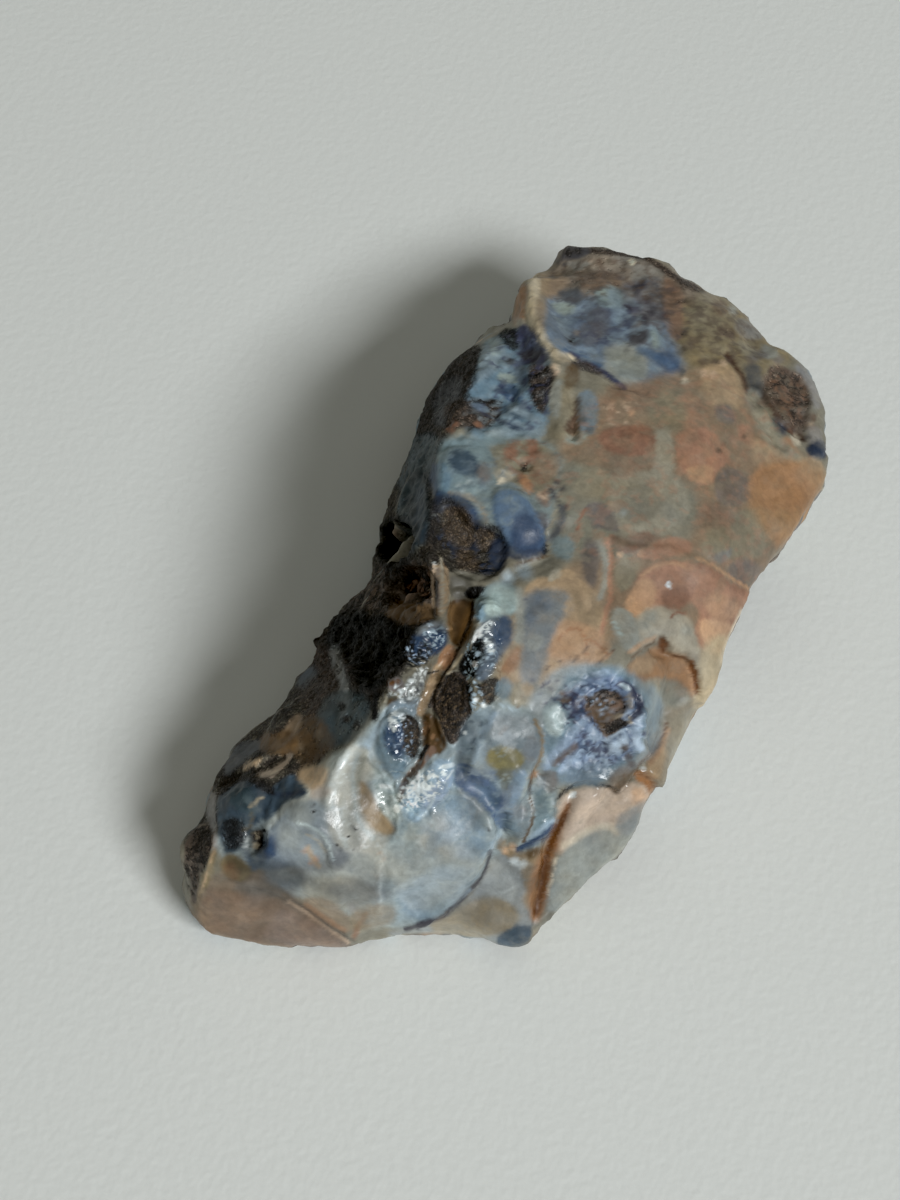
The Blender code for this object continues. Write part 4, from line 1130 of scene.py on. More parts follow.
RUSTY_FIELD = {
    "khaki top": area("khaki", [
        (642, 400), (664, 390), (690, 386), (692, 420), (676, 434), (652, 430)], 8, 0.8),
    "brown top": area("red brown", [(604, 386), (640, 380), (664, 390), (648, 402), (612, 400)], 7, 0.5),
    "light rust patch": area("crust tan", [
        (598, 406), (606, 398), (630, 397), (648, 406), (650, 420), (630, 428), (604, 430)], 6, 0.9),
    "lights of the patch": mottle("pink cream", [
        (600, 402), (640, 400), (644, 424), (604, 426)], 0.7, 0.3, 5, 0.6),
    "reddish heart": area("dull rust", [
        (598, 430), (618, 424), (646, 424), (656, 436), (652, 450), (636, 457), (610, 454),
        (598, 444)], 5, 1.0),
    "olive bar": area("warm grey", [
        (655, 432), (664, 428), (673, 431), (675, 448), (674, 470), (664, 482), (648, 480),
        (654, 462)], 4, 1.0),
    "rose strand": line("light rust", [(687, 398), (692, 412), (690, 428)], 12, 8, 0.5),
    "right rust": area("light rust", [
        (680, 430), (704, 426), (716, 436), (728, 450), (727, 464), (716, 470), (712, 480), (700, 485),
        (688, 478), (678, 466), (676, 446)], 5, 1.0),
    "bright foot of it": area("light orange", [
        (686, 466), (712, 464), (711, 478), (700, 484), (690, 479)], 5, 0.9),
    "brown cell": area("dusk", [
        (714, 476), (728, 466), (744, 472), (752, 490), (742, 506), (722, 504), (712, 490)], 6, 0.75),
    "rust spots": area("light rust", [(734, 424), (750, 424), (754, 438), (742, 444)], 5, 0.7),
    "dark red spots": spots("brown", [(723, 443), (744, 436), (718, 450)], 6, 3, 0.9),
    "green side band": line("warm grey", [(752, 398), (762, 426), (776, 446), (792, 458)], 13, 6, 0.9),
    "orange tan by the band": area("pale tan", [
        (752, 436), (772, 448), (790, 462), (770, 470), (750, 456)], 7, 0.7),
    "orange right side": area("bright orange", [
        (747, 480), (762, 468), (782, 460), (806, 466), (818, 480), (812, 502), (800, 514), (780, 514),
        (764, 508), (750, 494)], 6, 0.95),
    "ochre corner": area("pale tan", [
        (796, 456), (826, 462), (829, 482), (816, 488), (800, 472)], 6, 0.9),
    "tan of the edge": area("tan", [(768, 512), (800, 508), (812, 518), (786, 540), (770, 534)], 7, 0.9),
    "khaki cell": area("khaki", [
        (740, 508), (760, 506), (776, 516), (778, 538), (764, 556), (740, 560), (720, 552), (700, 550),
        (700, 534), (724, 530)], 6, 0.95),
    "brown shade": area("red brown", [
        (694, 500), (720, 502), (736, 514), (722, 528), (700, 534)], 7, 0.5),
    "dark fleck": area("grey", [(712, 556), (722, 548), (734, 546), (730, 558), (716, 564)], 4, 0.9),
    "dark grey gap": area("dusk", [
        (728, 564), (750, 558), (764, 566), (758, 584), (744, 588), (728, 576)], 5, 0.7),
    "light ring": area("warm grey", [
        (604, 492), (616, 474), (640, 470), (668, 470), (684, 482), (690, 505), (684, 528), (660, 536),
        (630, 534), (612, 522)], 6, 0.85),
    "grey cell": crisp("olive grey", [
        (621, 494), (632, 485), (646, 483), (658, 490), (664, 500), (662, 512), (650, 521), (636, 524),
        (624, 517), (619, 505)], 4, 1.1),
    "fleck of the cell": spots("dove", [(624, 512)], 7, 4, 0.9),
    "khaki left": area("pale khaki", [
        (570, 476), (600, 468), (614, 478), (604, 498), (578, 500)], 7, 0.9),
    "mauve blob": area("dusk", [
        (583, 512), (594, 502), (608, 506), (618, 518), (622, 532), (606, 528), (592, 530)], 4, 1.0),
    "rust rim of the blob": stroke("dull rust", [(577, 530), (579, 519), (586, 510)], 3),
    "dark red brown": area("red brown", [
        (610, 532), (626, 538), (640, 533), (656, 534), (664, 541), (640, 547), (628, 554),
        (614, 548)], 4, 1.0),
    "rose band": area("light rust", [
        (636, 550), (652, 544), (666, 536), (690, 536), (694, 552), (666, 560), (640, 560)], 5, 0.85),
    "lights of the band": spots("pale orange", [
        (640, 553), (619, 554), (684, 566), (690, 570), (632, 412)], 6, 3, 0.8),
    "dusk column": area("dusk", [
        (582, 536), (598, 540), (602, 560), (598, 588), (588, 590), (582, 566)], 6, 0.9),
    "lights of the column": spots("grey tan", [(585, 558), (590, 560)], 4, 2, 0.9),
    "grey bow": line("dove", [(600, 542), (607, 560), (607, 580), (600, 598)], 6, 3, 0.9, 0.5),
    "red seam": line("light rust", [
        (608, 540), (612, 556), (610, 580), (611, 600), (604, 618), (602, 634)], 4, 3, 1.0, 0.5),
    "green gap": area("khaki", [
        (616, 558), (638, 554), (640, 566), (633, 584), (620, 592), (615, 575)], 4, 1.0),
    "bow": area("light rust", [
        (634, 600), (636, 580), (648, 566), (668, 560), (694, 566), (704, 564), (748, 592), (758, 600),
        (744, 614), (734, 632), (716, 656), (700, 650), (694, 630), (700, 612), (690, 600), (668, 606),
        (650, 612)], 5, 1.0),
    "light left side of the bow": area("light orange", [
        (624, 598), (634, 586), (642, 578), (658, 582), (656, 606), (640, 618), (626, 612)], 5, 1.0),
    "core of the bow": crisp("dull rust", [
        (660, 594), (668, 588), (684, 586), (692, 594), (688, 604), (676, 612), (664, 610)], 5, 1.1),
    "dark band of the bow": line("dull rust", [
        (700, 567), (722, 579), (744, 593), (752, 600)], 6, 4, 0.7, 0.5),
    "light line of the bow": stroke("light orange", [
        (698, 558), (714, 566), (730, 577), (748, 588)], 3, 2, 1.1),
    "crown line of the bow": line("light orange", [
        (642, 576), (654, 566), (670, 562), (690, 570)], 3, 3, 0.7, 0.5),
    "rosy side of the bow": area("light orange", [
        (702, 598), (722, 590), (742, 604), (736, 618), (712, 622)], 7, 0.6),
    "pale foot of the bow": area("pale orange", [
        (696, 622), (714, 618), (734, 624), (732, 638), (718, 656), (704, 648)], 6, 0.9),
    "glint of the bow": spots("white", [(669, 584), (670, 586)], 4, 2, 1.2),
    "grey below the bow": area("pale grey", [
        (634, 614), (652, 606), (670, 608), (692, 616), (698, 640), (702, 656), (682, 652), (664, 640),
        (650, 642), (638, 650)], 5, 0.95),
    "light green of it": spots("dove", [(644, 624), (650, 616), (688, 630)], 12, 7, 0.7),
    "thin brown bow": stroke("dull rust", [(671, 617), (676, 612), (686, 613)], 2.4),
    "dove drop": area("dove", [
        (611, 608), (624, 606), (638, 620), (642, 640), (630, 656), (618, 642), (610, 624)], 4, 1.0),
    "line of the drop": stroke("green white", [(614, 622), (618, 630), (622, 636)], 2.2),
    "pale right edge": line("pale cream", [(742, 612), (724, 654), (716, 668)], 6, 3, 1.0, 0.4),
    "left orange zone": area("light orange", [
        (552, 628), (568, 620), (590, 622), (606, 634), (612, 650), (600, 662), (570, 668), (548, 672),
        (544, 652)], 6, 0.85),
    "arcs of the zone": stroke("bright orange", [
        (560, 640), (566, 630), (578, 628), (588, 640), (586, 654)], 3),
    "second arc": stroke("bright orange", [(590, 640), (600, 644), (608, 654)], 3),
    "light cracks": stroke("pale orange", [(578, 660), (586, 650)], 2),
    "second light crack": stroke("pale orange", [(598, 664), (612, 652)], 2),
    "tan between": area("tan", [(574, 586), (600, 596), (604, 624), (584, 622), (572, 606)], 7, 0.7),
    "tan arc": line("pale tan", [
        (530, 590), (538, 580), (550, 582), (560, 572), (572, 574), (580, 586),
        (588, 606)], 9, 4, 1.0, 0.5),
    "cream head of the arc": area("pale grey", [
        (545, 576), (553, 563), (560, 569), (555, 581), (548, 583)], 3, 1.1),
    "tan beside the column": area("pale tan", [
        (546, 656), (566, 664), (560, 684), (540, 690), (538, 672)], 6, 0.8),
    "brown dots beside it": spots("brown", [(560, 662), (548, 668), (571, 660), (546, 682)], 4, 2, 0.8),
    "thin cracks": stroke("brown", [(574, 662), (582, 655), (588, 646)], 2),
    "second thin crack": stroke("brown", [(598, 664), (606, 656), (614, 650)], 2),
    "grey mottles of the field": mottle("khaki", [
        (592, 398), (700, 366), (748, 385), (828, 470), (780, 545), (742, 622), (650, 560), (560, 560),
        (556, 440)], 1.3, 0.24, 14, 0.28),
    "rust mottles of the field": mottle("light rust", [
        (592, 398), (700, 366), (748, 385), (828, 470), (780, 545), (742, 622), (650, 560), (560, 560),
        (560, 440)], 0.9, 0.24, 14, 0.3),
    "grey hollow": area("hollow grey", [
        (524, 594), (544, 588), (566, 592), (572, 608), (562, 622), (550, 640), (546, 662), (538, 684),
        (524, 690), (518, 668), (524, 640), (518, 616)], 9, 1.0),
    "blue of the hollow": spots("dim blue", [(538, 600), (546, 604), (530, 616)], 16, 10, 0.7),
    "dusk of the hollow": spots("lead", [(534, 610), (541, 606), (522, 626)], 8, 6, 0.5),
    "green foot of the hollow": area("dove", [(526, 632), (544, 634), (540, 652), (526, 650)], 7, 0.7),
    "tan speck of the hollow": spots("pale tan", [(568, 606), (566, 612)], 8, 5, 0.8),
    "dark speck of the hollow": spots("ink", [(533, 679), (524, 600), (521, 622)], 5, 3, 0.7),
    "wide orange of the right side": area("dune orange", [
        (746, 486), (764, 462), (790, 456), (822, 470), (826, 492), (812, 524), (796, 548), (776, 548),
        (756, 520)], 12, 0.7),
}

CREST_BESIDE_GROOVE = {
    "dark flank ground": area("black brown", [
        (300, 650), (330, 600), (372, 560), (436, 560), (442, 624), (420, 640), (394, 690), (340, 712),
        (300, 700)], 9),
    "brown lumps of the ground": mottle("brown mottle", [
        (374, 560), (438, 562), (438, 606), (376, 612), (340, 600)], 0.8, 0.42, 6, 0.7),
    "olive streak of the ground": area("groove brown", [
        (392, 604), (410, 600), (440, 606), (440, 622), (400, 624), (384, 616)], 5, 0.85),
    # Painted shade: the deep of the cavity is painted near black.
    "black cavity": area("hole", [
        (404, 580), (420, 572), (434, 578), (436, 594), (424, 600), (404, 600)], 6),
    "red in the cavity": mottle("rust", [
        (408, 574), (436, 572), (436, 596), (408, 598)], 0.6, 0.22, 4, 0.8),
    "black ironstone": area("black", [
        (330, 620), (350, 610), (384, 616), (402, 622), (418, 632), (412, 640), (405, 652), (404, 664),
        (380, 692), (364, 692), (354, 680), (344, 666), (334, 656), (322, 645)], 5),
    "brown left of it": area("dark brown", [
        (300, 650), (330, 642), (350, 670), (346, 700), (320, 730), (296, 700)], 9, 0.9),
    "blue grey flank patch": spots("slate", [(308, 672), (302, 680)], 14, 9, 0.7),
    "grey streaks": line("scar grey", [(334, 650), (338, 668), (346, 690), (344, 712)], 9, 7, 0.55),
    "dark green flank": area("teal dark", [
        (330, 690), (368, 692), (372, 716), (352, 744), (322, 750), (316, 720)], 9, 0.6),
    "dark dots": spots("black brown", [(347, 718), (356, 725), (343, 706)], 8, 4, 0.9),
    "olive hollow by the knot": area("groove brown", [(390, 696), (400, 697), (399, 704), (388, 712)], 3),
    "black strip": line("black", [(378, 694), (377, 704), (374, 718)], 7, 3, 1.2),
    "milky slope lower": area("blue white", [(400, 698), (420, 694), (424, 712), (408, 716)], 6, 0.8),
    "reddish knot": crisp("mauve", [
        (388, 680), (398, 676), (405, 682), (403, 692), (394, 692), (388, 688)]),
    "red of the knot": spots("crack brown", [(398, 681), (392, 683)], 5, 2),
    "glints of the knot": spots("white", [(397, 686), (392, 693), (401, 690), (397, 694)], 3.5, 1.5, 1.4),
    "light ridge down": line("blue white", [
        (404, 702), (394, 706), (386, 716), (378, 730), (362, 754), (357, 768)], 8, 5, 0.85),
    "deep of the third lump": area("deep blue", [
        (386, 726), (396, 722), (406, 728), (410, 748), (404, 760), (394, 758), (388, 744)], 6, 1.1, 0.5),
    "black heart of it": area("marine", [
        (390, 736), (400, 732), (406, 746), (398, 754), (390, 748)], 5, 0.9),
    "its grainy side": area("black brown", [
        (404, 713), (413, 716), (420, 725), (421, 740), (418, 752), (410, 750), (408, 736),
        (403, 724)], 3, 1.1, 0.6),
    "grains of its side": mottle("sand", [
        (404, 714), (419, 720), (420, 750), (408, 752)], 0.4, 0.35, 3, 0.8),
    "glint on its head": crisp("white", [
        (389, 718), (392, 712), (398, 711), (403, 716), (399, 717), (396, 721), (390, 722)], 1.5, 1.4),
    "second glint on its head": crisp("white", [
        (390, 728), (394, 723), (398, 727), (395, 732)], 1.5, 1.2),
    "olive lower flank": area("groove brown", [
        (290, 726), (306, 716), (326, 720), (338, 744), (310, 766), (286, 756)], 8, 0.7),
    "first lump": area("deep blue", [
        (412, 636), (420, 628), (430, 622), (444, 624), (449, 636), (444, 650), (430, 658), (420, 660),
        (410, 652)], 5, 1.1, 0.6),
    # Painted highlight: pale glints along the first lump's top.
    "glints along the first lump's top": line("scar grey", [(418, 632), (428, 626), (442, 624)], 6, 4, 0.9),
    "sparkle of the first lump": mottle("blue white", [
        (420, 624), (446, 626), (446, 646), (424, 648)], 0.28, 0.34, 3, 1.2),
    "black of the first lump": mottle("black", [
        (404, 636), (424, 640), (434, 654), (420, 668), (402, 668)], 0.5, 0.7, 3, 1.4),
    "grains of the first lump": mottle("froth light", [
        (406, 640), (430, 644), (430, 664), (406, 666)], 0.28, 0.14, 3, 1.0),
    "pale slope under it": area("scar grey", [
        (402, 690), (410, 676), (420, 668), (428, 670), (425, 688), (416, 700), (406, 706)], 4, 0.9, 0.7),
    # Painted highlights with white froth, on the slope under the first lump.
    "froth and glints of the slope": mottle("white", [
        (400, 694), (408, 678), (420, 667), (428, 668), (424, 684), (414, 700),
        (402, 704)], 0.35, 0.5, 3, 1.3),
    "dark bean": spots("lead", [(421, 684), (418, 690)], 5, 3, 1.0),
    "fin's left streak": stroke("pink cream", [(434, 562), (432, 578), (434, 607)], 3, 2, 1.0),
    "fin's dark middle": line("dusk", [(438, 566), (438, 590), (438, 606)], 4, 3, 0.8),
    "fin's right streak": stroke("pale grey", [
        (441, 558), (443, 576), (443, 592), (441, 610)], 3, 2, 1.0),
    "blue side of the third lump": area("steel", [
        (382, 726), (388, 714), (398, 712), (408, 722), (412, 740), (410, 760), (402, 778), (390, 776),
        (378, 762), (376, 744)], 8, 0.9),
    "deep middle of it": area("deep blue", [
        (384, 728), (392, 720), (404, 724), (408, 742), (404, 758), (394, 758), (384, 744)], 8, 1.1, 0.5),
    "its black grainy side": area("black brown", [
        (400, 714), (410, 714), (419, 724), (421, 740), (419, 756), (411, 760), (406, 746),
        (402, 728)], 4, 1.1, 0.6),
    "grains of that side": mottle("sand", [
        (400, 714), (419, 720), (420, 756), (406, 756)], 0.3, 0.3, 3, 0.9),
    "blue grains of it": mottle("froth light", [
        (396, 716), (412, 720), (416, 758), (396, 762)], 0.3, 0.07, 3, 0.9),
    "head glint of it": mottle("white", [
        (386, 722), (391, 711), (403, 711), (405, 718), (396, 722), (396, 734),
        (390, 730)], 0.35, 0.6, 2, 1.4),
    "tan lump of the flank": area("crust tan", [
        (296, 712), (304, 714), (302, 726), (292, 740), (278, 750), (264, 752), (276, 740)], 5, 1.0),
}

GROOVE = {
    "glass above the ridge": area("teal", [
        (472, 604), (480, 590), (496, 580), (518, 584), (522, 612), (500, 620), (476, 620)], 6, 0.95),
    "blue foot of the glass": area("steel", [(474, 602), (486, 604), (484, 618), (474, 620)], 4, 0.8),
    "pale clouds of the glass": mottle("green white", [
        (484, 604), (498, 582), (516, 590), (520, 616), (492, 622)], 0.9, 0.42, 4, 0.35),
    "olive head": area("olive grey", [
        (450, 568), (470, 572), (490, 578), (488, 586), (470, 588), (462, 600), (449, 602)], 5, 1.1),
    "floor of the head": crisp("groove brown", [
        (447, 604), (456, 598), (466, 602), (473, 600), (474, 614), (470, 628), (462, 642), (457, 648),
        (451, 642), (447, 624)], 3),
    "dark wall of the groove": stroke("black brown", [
        (473, 602), (472, 616), (467, 630), (449, 668), (442, 677), (430, 706)], 3.5),
    "tan vein": crisp("orange tan", [
        (444, 647), (450, 643), (456, 649), (452, 660), (444, 671), (437, 670), (437, 660)], 3),
    "lower vein": line("pale tan", [(438, 668), (434, 680), (423, 704), (421, 712)], 9, 3, 1.3, 0.4),
    "golden floor": area("groove brown", [
        (423, 712), (436, 714), (444, 724), (448, 744), (440, 756), (424, 752), (421, 736)], 4, 1.3),
    "orange in the floor": mottle("orange", [
        (424, 708), (438, 712), (440, 744), (424, 748)], 1.0, 0.35, 4, 0.5),
    "stem": line("red brown", [(432, 750), (411, 774), (403, 786), (399, 797)], 8, 3, 1.2, 0.4),
    "dark head of the stem": stroke("black brown", [(427, 746), (420, 758)], 4),
    "dark lump": crisp("dark brown", [
        (450, 671), (462, 672), (470, 680), (474, 700), (472, 712), (466, 728), (458, 742), (450, 746),
        (445, 738), (440, 718), (430, 706), (431, 696), (438, 684)]),
    "black of the dark lump": mottle("black", [
        (440, 672), (472, 676), (470, 716), (450, 746), (434, 700)], 0.9, 0.4, 3, 0.8),
    "grain of the dark lump": mottle("sand", [
        (440, 672), (470, 676), (466, 726), (450, 742), (434, 700)], 0.3, 0.4, 3, 1.2),
    "pale edge above the lump": stroke("cream", [(462, 655), (454, 667), (448, 673)], 2.6),
    "dark strip": crisp("black", [
        (463, 654), (474, 648), (480, 656), (472, 672), (466, 678), (457, 670)]),
    "black top of the ridge": crisp("black", [
        (464, 592), (474, 585), (487, 588), (482, 594), (474, 600), (466, 598)]),
    "black of the ridge": crisp("black", [
        (473, 640), (486, 642), (482, 650), (480, 660), (470, 660), (472, 650)]),
    "pink of the knob": spots("pink edge", [(487, 683), (492, 690), (484, 694)], 3.5, 2, 0.9),
    "black of the knob": spots("black", [(491, 702), (480, 688)], 7, 2),
    "orange at the ridge": area("orange", [
        (500, 670), (506, 658), (514, 648), (522, 646), (518, 666), (510, 676)], 5, 1.1),
    "blue white light": spots("blue white", [(508, 578), (524, 572)], 14, 10, 0.7),
    "third thin crack": stroke("red brown", [(516, 708), (519, 702), (522, 695)], 2),
    "ridge ground": area("dim blue", [
        (478, 620), (492, 616), (506, 616), (514, 622), (514, 642), (500, 656), (492, 674), (482, 684),
        (472, 676), (471, 660)], 6, 1.0, 0.6),
    "navy of the ridge": area("deep blue", [
        (490, 622), (510, 616), (514, 636), (504, 646), (492, 640)], 6, 0.8),
    "black of the ridge's left": crisp("black", [
        (476, 636), (486, 642), (484, 650), (486, 658), (478, 664), (474, 680), (468, 672),
        (472, 644)], 3),
    # Painted highlights: the ridge's white glints and their cores.
    "long glint": mottle("white", [
        (490, 617), (492, 622), (476, 640), (470, 644), (480, 624)], 0.3, 0.6, 2, 1.5),
    "thin core of the glint": stroke("white", [(489, 620), (481, 626), (471, 641)], 2.4),
    "hooked glint": mottle("white", [
        (480, 638), (488, 636), (493, 642), (494, 652), (488, 655)], 0.3, 0.55, 2, 1.4),
    "core of the hooked glint": stroke("white", [(485, 641), (491, 644), (490, 650)], 2.4),
    "low glint": crisp("white", [(471, 662), (475, 660), (478, 667), (474, 669)], 1.5),
    # Painted highlights: blue-white glints low on the ridge.
    "lower glints of the ridge": mottle("blue white", [
        (482, 650), (494, 648), (496, 664), (486, 672), (478, 662)], 0.35, 0.3, 3, 0.9),
    "brown knob": area("black brown", [
        (482, 682), (492, 676), (500, 678), (500, 690), (494, 702), (486, 706), (480, 698)], 4, 1.1, 0.7),
    "speckles of the knob": mottle("sand", [
        (480, 680), (500, 676), (500, 704), (482, 708)], 0.35, 0.2, 3, 0.8),
    # Painted highlights: blue-white glints under the ridge.
    "glints under the ridge": mottle("blue white", [
        (468, 684), (482, 688), (486, 712), (474, 716), (468, 704)], 0.35, 0.4, 3, 1.1),
    "grey patch of the pane": area("steel", [
        (498, 680), (510, 676), (514, 690), (502, 702), (494, 696)], 5, 0.8),
    "pale ground of the pane": area("pale khaki", [
        (512, 686), (522, 680), (536, 686), (528, 702), (514, 706), (508, 698)], 6, 0.9),
    "peach of the pane": area("pale tan", [(520, 680), (534, 682), (532, 694), (522, 694)], 5, 0.6),
    # A painted highlight along the pane's lip.
    "glint along the lip of the pane": stroke("foam white", [(499, 704), (508, 708), (518, 712)], 2.4, 2, 1.0),
    "black line of the vein": stroke("black", [(428, 674), (437, 671)], 2),
    "dove beside the glass": line("dove", [(519, 592), (521, 616), (519, 640)], 9, 5, 0.9),
    "pale glass": area("glass light", [
        (486, 592), (502, 582), (516, 590), (518, 612), (498, 618), (486, 610)], 8, 0.5),
    # Painted highlights: blue-white glints in the ridge's black.
    "glints in the black": mottle("blue white", [
        (464, 640), (480, 638), (482, 664), (478, 690), (466, 684)], 0.3, 0.22, 3, 1.1),
}

ROSETTE = {
    "grey ground": area("facet grey", [
        (524, 700), (544, 682), (564, 664), (612, 662), (646, 680), (664, 700), (666, 730), (644, 766),
        (600, 784), (560, 786), (544, 770), (536, 735)], 12, 0.85),
    "teal rim of the rosette": area("mist", [
        (644, 688), (658, 690), (662, 712), (652, 736), (644, 716)], 8, 0.9),
    "blue halo": area("steel", [
        (562, 690), (570, 672), (600, 664), (624, 668), (644, 686), (650, 712), (644, 748), (612, 778),
        (566, 788), (548, 772), (540, 740), (548, 700)], 12, 0.9),
    "blue of the rosette": area("froth blue", [
        (568, 694), (584, 678), (604, 672), (624, 678), (640, 692), (644, 720), (638, 746), (622, 762),
        (600, 766), (574, 766), (556, 764), (566, 742), (578, 724), (566, 708)], 8),
    "pale streaks of the halo": mottle("froth light", [
        (574, 690), (590, 668), (616, 668), (620, 684), (600, 690), (584, 700)], 0.6, 0.3, 5, 0.8),
    "dark spots of the ground": mottle("ink", [
        (536, 684), (564, 676), (580, 690), (552, 706), (538, 708)], 0.5, 0.26, 5, 0.8),
    "violet of the rosette": mottle("ink", [
        (560, 690), (582, 690), (586, 716), (576, 730), (560, 722)], 0.45, 0.5, 5, 1.0),
    "navy left of the centre": spots("ink", [(574, 708), (571, 715), (577, 712)], 8, 4, 1.1),
    "deep blue of the rosette": mottle("deep blue", [
        (566, 690), (600, 674), (640, 690), (644, 742), (604, 772), (560, 770),
        (580, 724)], 0.5, 0.3, 6, 0.8),
    "navy of the rosette": mottle("ink", [
        (566, 690), (600, 674), (640, 690), (644, 742), (604, 772), (560, 770),
        (580, 724)], 0.35, 0.2, 6, 0.8),
    "light froth of the rosette": mottle("froth light", [
        (572, 740), (600, 728), (640, 700), (650, 742), (604, 772), (550, 774)], 0.5, 0.4, 6, 1.0),
    "dark ring at the right": line("ink", [
        (622, 684), (632, 688), (640, 698), (640, 710), (634, 717)], 7, 3, 1.1, 0.5),
    "lilac inside it": area("lilac grey", [
        (627, 694), (632, 693), (634, 704), (630, 712), (626, 704)], 3, 1.1, 0.5),
    "upper white stroke": stroke("foam white", [(622, 684), (627, 687), (630, 691)], 2.6),
    # Bright froth, with painted highlights on the ring's right edge.
    "right froth": area("froth bright", [
        (638, 716), (644, 714), (639, 738), (646, 748), (641, 754), (634, 748), (634, 730)], 5, 1.2, 0.6),
    "dark beside the right froth": spots("ink", [(645, 733), (626, 744), (630, 722)], 5, 3, 0.9),
    "diagonal froth": line("froth light", [
        (546, 768), (556, 752), (568, 738), (584, 722)], 8, 5, 1.0, 0.6),
    "brown strip of the froth": line("brown", [(556, 764), (564, 754), (574, 746)], 7, 4, 0.8, 0.8),
    "light below the strip": line("froth light", [(562, 772), (570, 762), (578, 754)], 6, 4, 1.0, 0.6),
    "blue foot": area("blue grey", [(572, 762), (604, 760), (612, 774), (580, 784), (562, 780)], 8, 0.6),
    "pale beside the navy": area("froth light", [(588, 726), (597, 726), (601, 744), (592, 740)], 4, 0.9),
    "navy beside the centre": spots("ink", [
        (584, 736), (587, 744), (592, 750), (597, 750), (604, 744), (605, 752)], 6, 4, 1.1),
    "light froth below the cut": area("froth bright", [
        (607, 744), (618, 736), (630, 734), (626, 750), (612, 756)], 5, 0.9),
    "dark brown at the foot": spots("purple brown", [
        (624, 748), (628, 757), (631, 764), (560, 760)], 8, 4, 0.9),
    "brown dots of the rosette": spots("brown", [
        (563, 694), (568, 700), (586, 696), (562, 700)], 6, 3, 1.0),
    "worn centre": area("brown", [
        (583, 704), (590, 694), (604, 690), (618, 693), (626, 700), (626, 712), (618, 717), (630, 724),
        (618, 731), (604, 739), (599, 728), (592, 718), (585, 713)], 3, 1.2),
    "dark top of the centre": mottle("black brown", [
        (584, 698), (600, 688), (622, 692), (628, 712), (606, 712), (592, 710)], 0.45, 0.55, 3, 1.1),
    "olive of the centre": area("groove brown", [
        (594, 706), (606, 706), (610, 722), (602, 734), (594, 720)], 4, 0.9),
    "grain of the centre": mottle("black brown", [
        (583, 702), (604, 688), (627, 702), (631, 725), (604, 738)], 0.35, 0.3, 3, 0.9),
    "tan grain of the centre": mottle("dusk", [
        (583, 702), (604, 688), (627, 702), (631, 725), (604, 738)], 0.35, 0.2, 3, 0.9),
    "blue flakes of the centre": mottle("froth light", [
        (586, 696), (612, 700), (622, 716), (598, 716)], 0.3, 0.1, 3, 0.9),
    "dark foot of the centre": crisp("black brown", [
        (606, 726), (612, 720), (620, 718), (630, 725), (618, 730), (605, 736)], 3),
    "red of the centre": spots("red brown", [(614, 708), (619, 704)], 8, 4, 0.8),
    "pale flap of the centre": stroke("grey tan", [(615, 717), (622, 714), (629, 718), (632, 723)], 2.4),
    "cut below the centre": stroke("froth bright", [(605, 741), (612, 736), (622, 731), (629, 729)], 2.6),
    "brown foot of the rosette": area("brown", [
        (608, 774), (624, 764), (632, 770), (622, 784), (608, 784)], 6, 0.7),
    "milky pane of the rosette": area("milky green", [
        (548, 706), (556, 700), (562, 710), (565, 726), (558, 736), (546, 732), (543, 718)], 6, 1.1),
}

